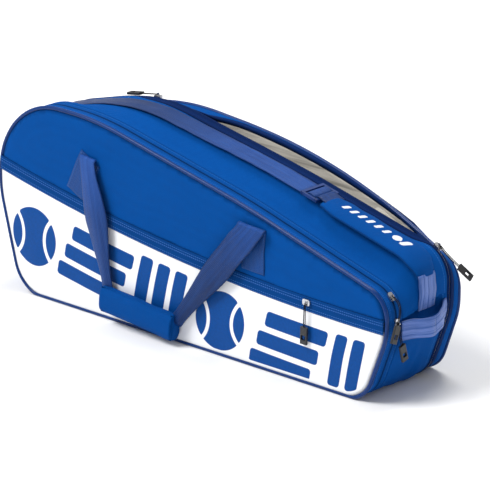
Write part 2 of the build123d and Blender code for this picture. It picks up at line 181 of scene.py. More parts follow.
def section(y, out=0.0):
    """The bag's cross outline at depth y, as the frame has it, moved out by out."""
    y = np.broadcast_to(np.asarray(y, float), (COUNT,))
    a = np.interp(y, (-46, -10), (0, 1))[:, None]
    b = np.interp(y, (40, 78), (0, 1))[:, None]
    p = (FRONT_P * (1 - a) + MID_P * a) * (1 - b) + BACK_P * b
    n = unit((FRONT_N * (1 - a) + MID_N * a) * (1 - b) + BACK_N * b)
    p = p + n * np.broadcast_to(np.asarray(out, float), (COUNT,))[:, None]
    return np.c_[p[:, 0], y, p[:, 1]], np.c_[n[:, 0], np.zeros(COUNT), n[:, 1]]


def rough(points, size, seed=0.0):
    """Smooth noise from -1 to 1 at each point, with lumps of about this size in mm."""
    size = np.broadcast_to(np.asarray(size, float), (3,))
    flat = np.asarray(points, float).reshape(-1, 3) / size + (seed, seed * 1.7, -seed)
    value = np.array([noise.noise(Vector(p)) for p in flat])
    return value.reshape(np.asarray(points).shape[:-1])


def inset(points, normals, amount, lowest):
    """An outline moved inwards, and kept off the floor."""
    line = points - normals * amount
    line[:, 1] = np.maximum(line[:, 1], lowest)
    return line


def mesh_object(name, points, faces, uv=None, shade=None, extra=None):
    """A smooth mesh object from points in mm, with values kept on its points."""
    mesh = bpy.data.meshes.new(name)
    points = np.asarray(points, float).reshape(-1, 3)
    mesh.from_pydata((points * MM).tolist(), [], [tuple(int(i) for i in f) for f in faces])
    mesh.update()
    mesh.polygons.foreach_set("use_smooth", [True] * len(mesh.polygons))
    loops = np.zeros(len(mesh.loops), int)
    mesh.loops.foreach_get("vertex_index", loops)
    if uv is not None:
        layer = mesh.uv_layers.new(name="UVMap")
        flat = (np.asarray(uv, float).reshape(-1, 2) * MM)[loops]
        layer.data.foreach_set("uv", flat.ravel())
    values = {"shade": np.ones(len(points)) if shade is None else shade}
    values.update(extra or {})
    for key, value in values.items():
        layer = mesh.attributes.new(key, "FLOAT", "POINT")
        full = np.broadcast_to(np.asarray(value, float).ravel(), (len(points),))
        layer.data.foreach_set("value", full.astype(np.float32))
    obj = bpy.data.objects.new(name, mesh)
    bpy.context.scene.collection.objects.link(obj)
    return obj


def grid_faces(rows, cols, closed=False, skip=None, flip=False):
    """Quads over a grid of points, without the columns marked in skip."""
    faces = []
    for r in range(rows - 1):
        for i in range(cols if closed else cols - 1):
            j = (i + 1) % cols
            if skip is not None and skip[i] and skip[j]:
                continue
            quad = (r * cols + i, r * cols + j, (r + 1) * cols + j, (r + 1) * cols + i)
            faces.append(quad[::-1] if flip else quad)
    return faces


def facing(faces, normal, outward):
    """The faces turned over if their normal points away from outward."""
    return [f[::-1] for f in faces] if normal @ outward < 0 else faces


def capped_faces(rows, around):
    """Faces of a closed tube whose last two points are the middles of its ends."""
    faces = grid_faces(rows, around, True)
    tip, last = rows * around, (rows - 1) * around
    for i in range(around):
        j = (i + 1) % around
        faces += [(tip, j, i), (tip + 1, last + i, last + j)]
    return faces


def thicken(obj, amount):
    """Gives a sheet its thickness, inwards, with its second material on the inside."""
    m = obj.modifiers.new("thickness", "SOLIDIFY")
    m.thickness, m.offset, m.use_rim = amount * MM, -1.0, True
    m.material_offset = 1 if len(obj.data.materials) > 1 else 0
    return obj


def finish_piece(obj, body, slot, mats, *stands_for):
    """Gives a piece its materials and body, and hides the frame nodes that it replaces; slot is not
    used.
    """
    for m in mats if isinstance(mats, (list, tuple)) else [mats]:
        obj.data.materials.append(m)
    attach(obj, body)
    if stands_for:
        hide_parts(*stands_for)
    return obj


# ---------------------------------------------------------------- materials
class Nodes:
    """A material's node tree with short ways to add and join nodes."""

    def __init__(self, name):
        self.mat = bpy.data.materials.new(name)
        self.mat.use_nodes = True
        self.tree = self.mat.node_tree
        self.tree.nodes.clear()
        self.out = self.tree.nodes.new("ShaderNodeOutputMaterial")
        self.bsdf = self.tree.nodes.new("ShaderNodeBsdfPrincipled")
        self.tree.links.new(self.bsdf.outputs[0], self.out.inputs[0])
        self.coords = self.tree.nodes.new("ShaderNodeTexCoord")

    def link(self, source, target):
        self.tree.links.new(source, target)

    def add(self, kind, inputs, **settings):
        """A node of this kind; each of its inputs is set, or linked if given a socket."""
        node = self.tree.nodes.new("ShaderNode" + kind)
        for key, value in settings.items():
            setattr(node, key, value)
        for key, value in inputs.items():
            if hasattr(value, "node"):
                self.link(value, node.inputs[key])
            elif value is not None:
                node.inputs[key].default_value = value
        return node

    def math(self, op, *values):
        return self.add("Math", dict(enumerate(values)), operation=op).outputs[0]

    def vector(self, op, *values):
        node = self.add("VectorMath", dict(enumerate(values)), operation=op)
        return node.outputs["Value" if op == "DOT_PRODUCT" else 0]

    def noise(self, vector, scale, detail=2.0, roughness=0.5):
        return self.add("TexNoise", {"Scale": scale, "Detail": detail, "Roughness": roughness,
                                     "Vector": vector}).outputs["Fac"]

    def yarns(self, at, size):
        """A grid of yarns, from -3 to 3."""
        waves = self.vector("SINE", self.vector("MULTIPLY", at, (2 * pi / size,) * 3))
        return self.vector("DOT_PRODUCT", waves, (1, 1, 1))

    def mix(self, factor, a, b, kind="MIX"):
        a, b = (v if hasattr(v, "node") else (*v, 1.0) for v in (a, b))
        return self.add("Mix", {0: factor, 6: a, 7: b}, data_type="RGBA",
                        blend_type=kind).outputs[2]

    def ramp(self, value, low, high, to_low=0.0, to_high=1.0):
        inputs = dict(enumerate((value, low, high, to_low, to_high)))
        return self.add("MapRange", inputs).outputs[0]

    def shaded(self, colour):
        """The colour times the shade kept on the mesh: painted shade, and painted light where it is
        above 1.
        """
        return self.mix(1.0, colour, self.attribute("shade"), "MULTIPLY")

    def inked(self):
        """1 where the mesh's print is, from the distance kept on it."""
        return self.ramp(self.attribute("ink"), -0.25, 0.25, 1.0, 0.0)

    def attribute(self, name):
        return self.add("Attribute", {}, attribute_name=name).outputs["Fac"]

    def split(self, vector):
        return self.add("SeparateXYZ", {0: vector}).outputs

    def bump(self, height, distance, strength=1.0, after=None):
        return self.add("Bump", {"Strength": strength, "Distance": distance, "Height": height,
                                 "Normal": after}).outputs[0]

    def surface(self, **sockets):
        for key, value in sockets.items():
            socket = self.bsdf.inputs[key.replace("_", " ")]
            if hasattr(value, "node"):
                self.link(value, socket)
            elif isinstance(value, tuple):
                socket.default_value = (*value, 1.0)
            else:
                socket.default_value = value
        return self.mat


STITCH_STEP, STITCH_HALF = 0.0038, 0.0005       # metres


def dark(colour, k):
    return tuple(c * k for c in colour)


def stitched(n, colour, rows, thread):
    """Rows of thread at these widths (mm) across the UV map; returns colour and height."""
    if not rows:
        return colour, None
    u, v, _ = n.split(n.coords.outputs["UV"])
    dash = n.math("LESS_THAN", n.math("FRACT", n.math("MULTIPLY", u, 1 / STITCH_STEP)), 0.68)
    mask = None
    for row in rows:
        near = n.math("LESS_THAN", n.math("ABSOLUTE", n.math("SUBTRACT", v, row * MM)), STITCH_HALF)
        mask = near if mask is None else n.math("MAXIMUM", mask, near)
    mask = n.math("MULTIPLY", mask, dash)
    return n.mix(mask, colour, thread), mask


def fabric(name, colour, weave=0.0012, rough_at=0.82, sheen=0.08, rows=(), thread=None,
           contrast=0.10, marks=None):
    """Plain woven cloth: a grid of yarns, fuzz, soft colour change and the painted shade kept on
    the mesh, darkest at the seams.
    """
    n = Nodes(name)
    at = n.coords.outputs["Object"]
    yarn = n.yarns(at, weave)
    fuzz = n.noise(at, 900.0, 2.0)
    broad = n.noise(at, 9.0, 3.0)
    fine = n.noise(at, 120.0, 3.0, 0.6)
    base = n.mix(broad, dark(colour, 0.9), dark(colour, 1.1))
    base = n.mix(n.ramp(yarn, -2.0, 2.0, contrast, 0.0), base, dark(colour, 0.45))
    base = n.mix(n.ramp(fine, 0.35, 0.75, 0.0, 0.22), base, dark(colour, 1.3))
    base, ridge = stitched(n, n.shaded(base), rows, thread or dark(colour, 1.6))
    if marks:
        base = n.mix(n.inked(), base, marks)
    height = n.math("ADD", yarn, n.math("MULTIPLY", fuzz, 2.0))
    normal = n.bump(height, 0.00022, 0.55)
    if ridge is not None:
        normal = n.bump(ridge, 0.0006, 0.8, normal)
    return n.surface(Base_Color=base, Normal=normal,
                     Roughness=n.ramp(fine, 0.2, 0.8, rough_at - 0.06, rough_at + 0.06),
                     Sheen_Weight=sheen, Sheen_Roughness=0.4, Sheen_Tint=(0.05, 0.3, 1.0),
                     Specular_IOR_Level=0.05)


def webbing(name, colour, pale, rough_at=0.38, rows=(), sheen_streak=0.5, relief=1.0):
    """Satin webbing: ribs along it, a fine twill across, sheen, and long pale streaks that are
    painted sheen highlights.
    """
    n = Nodes(name)
    u, v, _ = n.split(n.coords.outputs["UV"])
    rib = n.math("SINE", n.math("MULTIPLY", v, 2 * pi / 0.0022))
    twill = n.math("SINE", n.math("MULTIPLY", n.math("ADD", u, v), 2 * pi / 0.0011))
    long_at = n.vector("MULTIPLY", n.coords.outputs["UV"], (9.0, 170.0, 1.0))
    lines = n.noise(long_at, 1.0, 3.0, 0.6)
    broad = n.noise(n.coords.outputs["Object"], 22.0, 3.0)
    base = n.mix(n.ramp(lines, 0.3, 0.75, 0.0, sheen_streak), colour, pale)
    base = n.mix(n.ramp(broad, 0.35, 0.8, 0.0, 0.35), base, dark(colour, 0.6))
    base = n.mix(n.ramp(rib, -1.0, 1.0, 0.16, 0.0), base, dark(colour, 0.5))
    base, ridge = stitched(n, n.shaded(base), rows, pale)
    height = n.math("ADD", n.math("MULTIPLY", rib, 1.2), n.math("MULTIPLY", twill, 0.5))
    normal = n.bump(height, 0.00022 * relief, 0.55 * relief)
    if ridge is not None:
        normal = n.bump(ridge, 0.0006, 0.8, normal)
    return n.surface(Base_Color=base, Normal=normal,
                     Roughness=n.ramp(lines, 0.2, 0.8, rough_at - 0.07, rough_at + 0.12),
                     Sheen_Weight=0.06, Sheen_Roughness=0.3, Sheen_Tint=(0.3, 0.45, 1.0),
                     Specular_IOR_Level=0.22, Anisotropic=0.45)


def coated(name, colour, print_colour):
    """Smooth coated cloth with the print, which is a distance kept on the mesh."""
    n = Nodes(name)
    at = n.coords.outputs["Object"]
    broad = n.noise(at, 7.0, 3.0)
    fine = n.noise(at, 260.0, 3.0, 0.6)
    yarn = n.yarns(at, 0.0011)
    base = n.mix(broad, dark(colour, 0.95), dark(colour, 1.02))
    ink = n.mix(n.ramp(fine, 0.3, 0.7), dark(print_colour, 0.92), dark(print_colour, 1.1))
    base = n.shaded(n.mix(n.inked(), base, ink))
    height = n.math("ADD", n.math("MULTIPLY", yarn, 0.35), n.math("MULTIPLY", fine, 1.4))
    normal = n.bump(height, 0.00012, 0.4)
    return n.surface(Base_Color=base, Normal=normal, Roughness=n.ramp(fine, 0.2, 0.8, 0.46, 0.6),
                     Specular_IOR_Level=0.12)


def lining(name, colour):
    """Silvery lining with long dark streaks."""
    n = Nodes(name)
    at = n.coords.outputs["Object"]
    long_at = n.vector("MULTIPLY", at, (5.0, 60.0, 95.0))
    lines = n.noise(long_at, 1.0, 4.0, 0.65)
    broad = n.noise(at, 14.0, 3.0)
    yarn = n.yarns(at, 0.0009)
    base = n.mix(n.ramp(lines, 0.46, 0.72, 0.0, 0.8), colour, dark(colour, 0.2))
    base = n.shaded(n.mix(n.ramp(broad, 0.3, 0.8, 0.0, 0.3), base, (0.42, 0.36, 0.28)))
    return n.surface(Base_Color=base, Roughness=n.ramp(lines, 0.3, 0.7, 0.42, 0.6),
                     Normal=n.bump(n.math("ADD", yarn, lines), 0.0002, 0.5),
                     Sheen_Weight=0.3, Sheen_Roughness=0.35)


def plastic(name, colour, rough_at=0.45):
    """Moulded plastic with a fine grain."""
    n = Nodes(name)
    at = n.coords.outputs["Object"]
    speck = n.noise(at, 1400.0, 2.0)
    broad = n.noise(at, 60.0, 3.0)
    base = n.mix(n.ramp(broad, 0.3, 0.7), dark(colour, 0.8), dark(colour, 1.5))
    return n.surface(Base_Color=base, Normal=n.bump(speck, 0.00012, 0.5),
                     Roughness=n.ramp(broad, 0.2, 0.8, rough_at - 0.1, rough_at + 0.12))


def metal(name, colour):
    """Scuffed cast metal."""
    n = Nodes(name)
    at = n.coords.outputs["Object"]
    scuff = n.noise(n.vector("MULTIPLY", at, (1.0, 1.0, 3.0)), 900.0, 4.0, 0.7)
    broad = n.noise(at, 300.0, 3.0)
    base = n.mix(n.ramp(scuff, 0.4, 0.75, 0.0, 0.5), colour, dark(colour, 0.45))
    return n.surface(Base_Color=base, Metallic=1.0, Roughness=n.ramp(broad, 0.2, 0.8, 0.16, 0.42),
                     Normal=n.bump(scuff, 0.00008, 0.5))


def braid(name, colour):
    """Braided cord."""
    n = Nodes(name)
    at = n.coords.outputs["Object"]
    wave = n.yarns(at, 0.0006)
    base = n.mix(n.ramp(wave, -2.0, 2.0), dark(colour, 0.6), dark(colour, 2.2))
    return n.surface(Base_Color=base, Roughness=n.ramp(n.noise(at, 500.0), 0.3, 0.7, 0.6, 0.8),
                     Normal=n.bump(wave, 0.0001, 0.6), Specular_IOR_Level=0.12)


BLUE = (0.0005, 0.066, 0.295)
NAVY = (0.001, 0.013, 0.075)
VIOLET = (0.003, 0.040, 0.20)
VIOLET_PALE = (0.035, 0.130, 0.46)
WHITE = (0.86, 0.87, 0.90)

m_panel = fabric("panel_cloth", BLUE, contrast=0.16)
m_band = fabric("band_cloth", BLUE, rows=(-78.0, -75.2), thread=(0.02, 0.13, 0.5))
m_gusset = fabric("gusset_cloth", BLUE, sheen=0.16, rows=(-55.6, 33.0), thread=(0.03, 0.16, 0.52))
m_tape = fabric("zip_tape", dark(BLUE, 0.62), weave=0.0009, rough_at=0.7, rows=(-67.6, -62.4))
m_lip = fabric("lip_cloth", NAVY, weave=0.0010, rough_at=0.7, sheen=0.05)
m_base = fabric("base_cloth", dark(BLUE, 0.8), weave=0.0016)
m_pad = fabric("pad_cloth", dark(BLUE, 0.92), rough_at=0.72, sheen=0.10, contrast=0.12)
m_pad_marked = fabric("pad_cloth_marked", dark(BLUE, 0.92), rough_at=0.72, sheen=0.10,
                      marks=(0.8, 0.82, 0.86))
m_binding = fabric("binding_tape", dark(BLUE, 0.55), weave=0.0008, rough_at=0.6)
m_pocket_tape = fabric("pocket_tape", dark(BLUE, 0.72), weave=0.0009, rough_at=0.7,
                       rows=(-1.2, -4.6, -13.2, -16.4), thread=(0.045, 0.15, 0.48))
m_lining = lining("lining", (0.80, 0.76, 0.68))
m_white = coated("pocket_coated", WHITE, dark(BLUE, 0.85))
m_web = webbing("strap_webbing", VIOLET, VIOLET_PALE)
# A darker copy of the strap webbing: painted shade for webbing that faces away from the light, as
# on the right carry strap and the rear straps.
m_web_shaded = webbing("webbing_shaded", (0.0008, 0.024, 0.125), (0.008, 0.075, 0.32), 0.33,
                     sheen_streak=0.6)
m_patch = webbing("patch_webbing", (0.001, 0.046, 0.22), (0.008, 0.085, 0.33), 0.45,
                  rows=(-18.5, 18.5))
# The tab's satin gets the palest painted sheen highlights.
m_satin = webbing("tab_satin", (0.008, 0.075, 0.34), (0.26, 0.38, 0.85), 0.27, sheen_streak=0.9)
m_pipe = webbing("piping_satin", (0.0008, 0.028, 0.15), (0.004, 0.06, 0.27), 0.3, sheen_streak=0.3,
                 relief=0.25)
m_black = plastic("pull_plastic", (0.012, 0.012, 0.014))
m_buckle = plastic("buckle_plastic", (0.006, 0.028, 0.13), 0.3)
m_board = plastic("board", (0.03, 0.03, 0.034), 0.6)
m_metal = metal("slider_metal", (0.62, 0.62, 0.64))
m_cord = braid("pull_cord", (0.008, 0.008, 0.009))


# ---------------------------------------------------------------- gusset bands round the bag
def skin(name, rows, body, slot, mat, stands_for, wrinkle, size, seed=1.0, wall=1.8,
         extra_out=None, shade_rows=None):
    """A band round the bag from rows of (depth, out); wrinkles fade at both of its edges. Each
    row's shade_rows value paints shade below 1 and light above 1.
    """
    points, uv, shade = [], [], []
    total = len(rows)
    for r, (y, out) in enumerate(rows):
        p, n = section(y, out)
        fade = sin(pi * r / (total - 1)) ** 0.5
        p = p + n * (wrinkle * fade * rough(p, size, seed))[:, None]
        if extra_out is not None:
            p = p + n * extra_out(p)[:, None]
        points.append(p)
        uv.append(np.c_[ALONG, p[:, 1]])
        shade.append(np.full(COUNT, shade_rows[r]))
    faces = grid_faces(total, COUNT, True, ON_BASE)
    obj = mesh_object(name, np.array(points), faces, np.array(uv), np.array(shade))
    finish_piece(obj, body, slot, [mat, m_lining], *stands_for)
    thicken(obj, wall)


# The bands' shade_rows paint shade where the cloth turns into seams and into the zip's gap, and
# paint light on raised rows.
SEAM_SHADE = 0.45
skin("front_band", [(-81.5, -1.2), (-80.6, 0.0), (-79, 0.9), (-77, 1.0), (-75, 0.7), (-72, 1.0),
                    (-70.2, 0.9)],
     "front_section", "blue_fabric", m_band, ["front_band_panel"], 0.5, 60,
     shade_rows=[0.35, 0.6, 1, 1, 1, 1, 1])
skin("front_tape_outer", [(-70.2, 0.9), (-69, 0.9), (-67.5, 0.6), (-66.3, 0.5), (-65.5, 0.1),
                          (-65.15, -1.2)],
     "front_section", "navy_lip", m_tape, ["front_zip_tape_panel"], 0.3, 60,
     shade_rows=[1.5, 1.4, 1.2, 1.0, 0.4, 0.2])
skin("front_tape_inner", [(-64.85, -1.2), (-64.5, 0.1), (-63.6, 0.5), (-62.4, 0.7), (-61, 1.0),
                          (-60, 1.1)],
     "core", "navy_lip", m_tape, ["front_zip_tape_core"], 0.3, 60,
     shade_rows=[0.2, 0.4, 1.0, 1.3, 1.6, 1.6])


def gusset_swell(p):
    """Soft folds: creases towards the handle end's top corner and lumps low on that end."""
    x, y, z = p[:, 0], p[:, 1], p[:, 2]
    mid = smooth((y + 50) / 25) * smooth((34 - y) / 18)
    end = smooth((x - 250) / 90)
    creases = rough(p, (26, 14, 60), 7.0) * 2.2 * end * mid
    low = smooth((x - 270) / 60) * smooth((110 - z) / 60)
    lumps = rough(p, (40, 24, 46), 3.0) * 3.0 * low * mid
    line = z - (125 + 0.20 * (y + 44))
    step = np.where(line > 0, 1.6 * np.exp(-line / 14), -6.0 * np.exp(line / 16))
    recess = step * smooth((x - 356) / 14) * smooth((y + 58) / 10) * smooth((36 - y) / 8)
    head = 1.4 * rough(p, (70, 30, 60), 5.0) * mid
    under = smooth((y + 38) / 8) * smooth((28 - y) / 6) * smooth((z - 122) / 12)
    return (creases + lumps + head) * (1 - 0.85 * under) + recess - 0.8 * under


lip_drop = np.where(ON_TOP, smooth((MID_P[:, 0] - MOUTH[0] + 60) / 60)
                    * smooth((MOUTH[1] + 12 - MID_P[:, 0]) / 40), 0.0)
LIP = 8.0 + 12.0 * lip_drop     # how wide the lip's cloth is
gusset_rows = [(-60, 1.1), (-58, 1.3), (-56, 1.0), (-54, 0.6), (-53.2, -0.3), (-52.4, 0.5),
               (-50, 1.1), (-46, 1.3)]
gusset_rows += [(-46 + t * (FRONT_LIP - LIP + 1.5 + 46), 1.3 + 0.6 * sin(pi * t))
                for t in np.linspace(0, 1, 17)[1:]]
# Painted shade in the gusset's sewn crease and at its edge by the lip.
gusset_shade = [1, 1, 1, 0.8, SEAM_SHADE, 0.8, 1, 1] + [1.0] * 15 + [0.8]
skin("gusset", gusset_rows, "core", "blue_fabric", m_gusset,
     ["front_band_core", "mid_gusset_head", "mid_gusset_top", "mid_gusset_handle"],
     0.5, 60, extra_out=gusset_swell, shade_rows=gusset_shade)

# The lips' shade_rows paint light on the rolled crest and shade where the cloth turns in under the
# mouth.
front_rows = [(FRONT_LIP - LIP - 1, 0.4), (FRONT_LIP - LIP, 1.7), (FRONT_LIP - 0.75 * LIP, 2.2),
              (FRONT_LIP - 0.5 * LIP, 2.3), (FRONT_LIP - 0.3 * LIP, 2.8 + 0.8 * lip_drop),
              (FRONT_LIP - 3, 2.6 + 0.9 * lip_drop), (FRONT_LIP - 0.8, 1.2 + 0.9 * lip_drop),
              (FRONT_LIP - 0.2, -0.6), (FRONT_LIP - 1.0, -4 - 4 * lip_drop),
              (FRONT_LIP - 2.0, -5 - 9 * lip_drop)]
skin("front_lip", front_rows, "core", "navy_lip", m_lip, ["rear_zip_tape_core"],
     0.5, 70, 4.0, wall=1.4, shade_rows=[0.5, 0.8, 1.3, 1.0, 0.9, 1.1, 1.2, 0.9, 0.5, 0.4])
back_rows = [(BACK_LIP + 1.4, -4.5), (BACK_LIP + 0.8, -3.5),
             (BACK_LIP + 0.1, -1.8), (BACK_LIP + 0.1, 0.0), (BACK_LIP + 1.2, 1.2),
             (BACK_LIP + 4, 1.6), (BACK_LIP + 8, 1.2), (BACK_LIP + 10.2, 0.4)]
back_y_here = back_y(MID_P[:, 0])
back_rows = [(np.minimum(y, back_y_here - 3.2), o) for y, o in back_rows]
skin("back_lip", back_rows, "rear_section", "navy_lip", m_lip,
     ["rear_zip_tape_panel"], 0.5, 70, 4.0, wall=1.4,
     shade_rows=[0.4, 0.5, 0.6, 0.8, 1.1, 1.3, 1.0, 0.6])
start = np.minimum(BACK_LIP + 9.4, back_y_here - 4.4)
rear_rows = [(start + t * (back_y_here - 4.2 - start), 0.1 + 1.3 * sin(pi * t) ** 0.7)
             for t in np.linspace(0, 1, 11)]
skin("rear_gusset_skin", rear_rows, "rear_section", "blue_fabric", m_gusset,
     ["rear_gusset"], 1.0, 55, 9.0, shade_rows=[0.7] + [1.0] * 9 + [0.5])


# The lining hangs from the mouth's back edge to the bottom of the back panel's own lining.
open_top = np.array([i for i in range(COUNT) if MID_P[i, 1] > 120
                     and MOUTH[0] + 4 < MID_P[i, 0] < MOUTH[1] - 16])
skirt, skirt_uv = [], []
for k, t in enumerate(np.linspace(0, 1, 14)):
    y = BACK_LIP + 1.6 + (np.minimum(back_y_here - 9, BACK_LIP + 10) - BACK_LIP) * t
    p, n = section(y, -3.0 - 62 * t)
    p = p + np.array([0, 1.0, 0]) * (1.6 * sin(pi * t) * rough(p, (38, 60, 30), 5.0))[:, None]
    skirt.append(p[open_top])
    skirt_uv.append(np.c_[ALONG[open_top], np.full(len(open_top), 70 * t)])
obj = mesh_object("mouth_lining", skirt, grid_faces(14, len(open_top), flip=True), skirt_uv)
finish_piece(obj, "rear_section", "lining_grey", m_lining)
thicken(obj, 0.5)


# ---------------------------------------------------------------- flat panels
def fill(boundary, step):
    """Triangles over the inside of a closed outline: its own points and an even field."""
    boundary = np.asarray(boundary, float)
    low, high = boundary.min(0), boundary.max(0)
    field = []
    rows = int((high[1] - low[1]) / (step * 0.866)) + 1
    for r in range(rows):
        z = low[1] + (r + 0.5) * step * 0.866
        xs = np.arange(low[0] + (r % 2) * step / 2, high[0], step)
        field.append(np.c_[xs, np.full(len(xs), z)])
    field = np.vstack(field)
    inside = np.zeros(len(field), bool)
    for (x0, z0), (x1, z1) in zip(boundary, np.roll(boundary, -1, axis=0)):
        crosses = (z0 > field[:, 1]) != (z1 > field[:, 1])
        if z1 != z0:
            inside ^= crosses & (field[:, 0] < (x1 - x0) * (field[:, 1] - z0) / (z1 - z0) + x0)
    field = field[inside & (gap_to(field, boundary) > 0.55 * step)]
    count = len(boundary)
    verts = [Vector(p) for p in np.vstack([boundary, field])]
    edges = [(i, (i + 1) % count) for i in range(count)]
    out, _, faces, *_ = geometry.delaunay_2d_cdt(verts, edges, [], 1, 1e-4)
    points = np.array([tuple(p) for p in out])
    turned = []
    for f in faces:
        p, q, r = points[f[0]], points[f[1]], points[f[2]]
        area = (q[0] - p[0]) * (r[1] - p[1]) - (q[1] - p[1]) * (r[0] - p[0])
        turned.append(tuple(f) if area > 0 else tuple(f)[::-1])
    return points, turned


def gap_to(points, line):
    """Distance from each point to a closed polyline."""
    best = np.full(len(points), 1e9)
    for p, q in zip(line, np.roll(line, -1, axis=0)):
        d = q - p
        t = np.clip(((points - p) @ d) / max(d @ d, 1e-9), 0, 1)
        best = np.minimum(best, np.linalg.norm(points - p - t[:, None] * d, axis=1))
    return best


def below_arc(points):
    """How far each point lies under the pocket's arc centre."""
    return np.linalg.norm(np.asarray(points) - POCKET_ARC, axis=-1)


def arc_z(x, r):
    """Height of the pocket's arc of radius r at x."""
    return POCKET_ARC[1] - np.sqrt(r ** 2 - (np.asarray(x, float) - POCKET_ARC[0]) ** 2)


edge_line = inset(FRONT_P, FRONT_N, EDGE_IN, FLOOR_GAP)


def cut_by_arc(line, radius, keep_above):
    """The part of a closed outline on one side of the pocket arc, closed along the arc."""
    inside = (below_arc(line) < radius) == keep_above
    count = len(line)
    start = next(i for i in range(count) if inside[i] and not inside[i - 1])
    run = [line[(start + k) % count] for k in range(count) if inside[(start + k) % count]]
    x0, x1 = run[-1][0], run[0][0]
    xs = np.linspace(x0, x1, 160)
    arc = np.c_[xs, arc_z(xs, radius)]
    return np.vstack([run, arc])


def front_y(p):
    """Depth of the front's cloth at x, z: both fields are gently full, the zip's band is flat."""
    p = np.asarray(p, float)
    radius = below_arc(p)
    to_edge = gap_to(p, edge_line)
    upper = np.minimum(to_edge, np.maximum(POCKET_BAND_R - radius, 0))
    lower = np.minimum(to_edge, np.maximum(radius - POCKET_TOP_R, 0))
    swell = 3.6 * smooth(upper / 70) + 2.6 * smooth(lower / 55)
    tuck = 2.2 * (1 - smooth(to_edge / 5.0))
    soft = 0.55 * rough(upright(p), 85, 2.0) + 0.22 * rough(upright(p), 30, 8.0)
    return PANEL_Y - swell + tuck - soft * smooth(to_edge / 30)


def panel(name, line, step, body, slot, mats, stands_for, depth, wall, flip=False, extra=None,
          shade=None):
    """A cloth inside an outline, at the depth that a function of x and z gives."""
    points, faces = fill(line, step)
    full = np.c_[points[:, 0], depth(points), points[:, 1]]
    if flip:
        faces = [f[::-1] for f in faces]
    obj = mesh_object(name, full, faces, points, None if shade is None else shade(points),
                      None if extra is None else extra(points))
    finish_piece(obj, body, slot, mats, *stands_for)
    return thicken(obj, wall)


def shade_by(line):
    """Painted shade that darkens the cloth along its sewn outline."""
    return lambda points: 0.55 + 0.45 * smooth(gap_to(points, line) / 5.0)


upper_line = cut_by_arc(edge_line, POCKET_BAND_R + 3, True)
panel("front_upper", upper_line, 6.0, "front_section", "blue_fabric", [m_panel, m_lining],
      ["front_panel_upper"], front_y, 3.0, shade=shade_by(edge_line))


# The print: slanted bars, stacked stripes and balls, as one distance field.
def box_field(u, v, cu, cv, hu, hv, r=5.0):
    """Distance to a box of half sizes hu and hv with corners of radius r."""
    qu, qv = np.abs(u - cu) - hu + r, np.abs(v - cv) - hv + r
    return np.hypot(np.maximum(qu, 0), np.maximum(qv, 0)) + np.minimum(np.maximum(qu, qv), 0) - r


def ball_field(u, v, cu, cv, r):
    """Distance to a disc that two curved seams cross."""
    disc = np.hypot(u - cu, v - cv) - r
    seam = np.minimum(np.abs(np.hypot(u - cu - 1.45 * r, v - cv + 0.25 * r) - r),
                      np.abs(np.hypot(u - cu + 1.45 * r, v - cv - 0.25 * r) - r)) - 3.0
    return np.maximum(disc, -seam)


def print_field(points):
    """The whole print: u runs along the pocket and leans with v, which runs down from its zip."""
    v = below_arc(points) - POCKET_TOP_R
    u = points[:, 0] + 0.22 * (v - 66)
    shapes = [ball_field(u, v, -300, 78, 46)]
    for centre, half, lift in ((-170, 62, 4), (205, 56, 0)):
        for k in range(3):
            shapes.append(box_field(u, v, centre - 9 * k + 6, 34 + lift + 32 * k, half, 11.5))
    for centre in (-78, -44, -10):
        shapes.append(box_field(u, v, centre, 66, 12, 47))
    shapes.append(ball_field(u, v, 75, 66, 46))
    for centre in (291, 322):
        shapes.append(box_field(u, v, centre, 60, 10.5, 40))
    field = np.minimum.reduce(shapes)
    margin = 7.0 - np.minimum(gap_to(points, edge_line), v)
    return np.maximum(field, margin)


lower_line = cut_by_arc(edge_line, POCKET_TOP_R - 1.5, False)
panel("pocket_face", lower_line, 3.0, "front_section", "white_coated", [m_white, m_lining],
      ["pocket_front", "pocket_backing"], front_y, 2.0,
      extra=lambda p: {"ink": print_field(p)}, shade=shade_by(edge_line))

# Pocket zip: two ridged tapes over the join of the two fields.
tape_profile = [(3242.0, 0.2), (3241.4, 0.9), (3239, 1.1), (3236.5, 0.9), (3233.5, 1.1),
                (3230.8, 0.9), (3229.0, 1.5), (3228.1, 1.2), (3228.0, 0.2), (3227.9, 1.2),
                (3227.0, 1.5), (3225.4, 0.9), (3223.4, 1.1), (3221.6, 0.8), (3220.6, 0.1)]
xs = np.linspace(-371, 373.5, 190)
rows, uvs, tape_shade = [], [], []
for radius, out in tape_profile:
    zs = arc_z(xs, radius)
    rows.append(np.c_[xs, np.full(len(xs), PANEL_Y - out), zs])
    uvs.append(np.c_[xs, np.full(len(xs), 3224.0 - radius)])
    # Painted shade where the tapes dip: at their edges and in the zip's gap.
    tape_shade.append(np.full(len(xs), {0.2: 0.25, 0.1: 0.5}.get(out, 1.0)))
rows = np.array(rows)
edge_x, edge_z = edge_line.T
left_edge = edge_line[(edge_x < 0) & (edge_z < 300) & (edge_z > 60)]
right_edge = edge_line[(edge_x > 330) & (edge_z < 150) & (edge_z > 40)][::-1]
for row in rows:
    left = np.interp(row[:, 2], *left_edge[:, ::-1].T)
    right = np.interp(row[:, 2], *right_edge[:, ::-1].T)
    row[:, 0] = np.clip(row[:, 0], left - 1.0, right + 3.5)
obj = mesh_object("pocket_tapes", rows, grid_faces(len(rows), len(xs), flip=True),
                  np.array(uvs), np.array(tape_shade))
finish_piece(obj, "front_section", "navy_lip", m_pocket_tape, "pocket_zip_tapes",
             "pocket_zip_coil")
thicken(obj, 0.5)


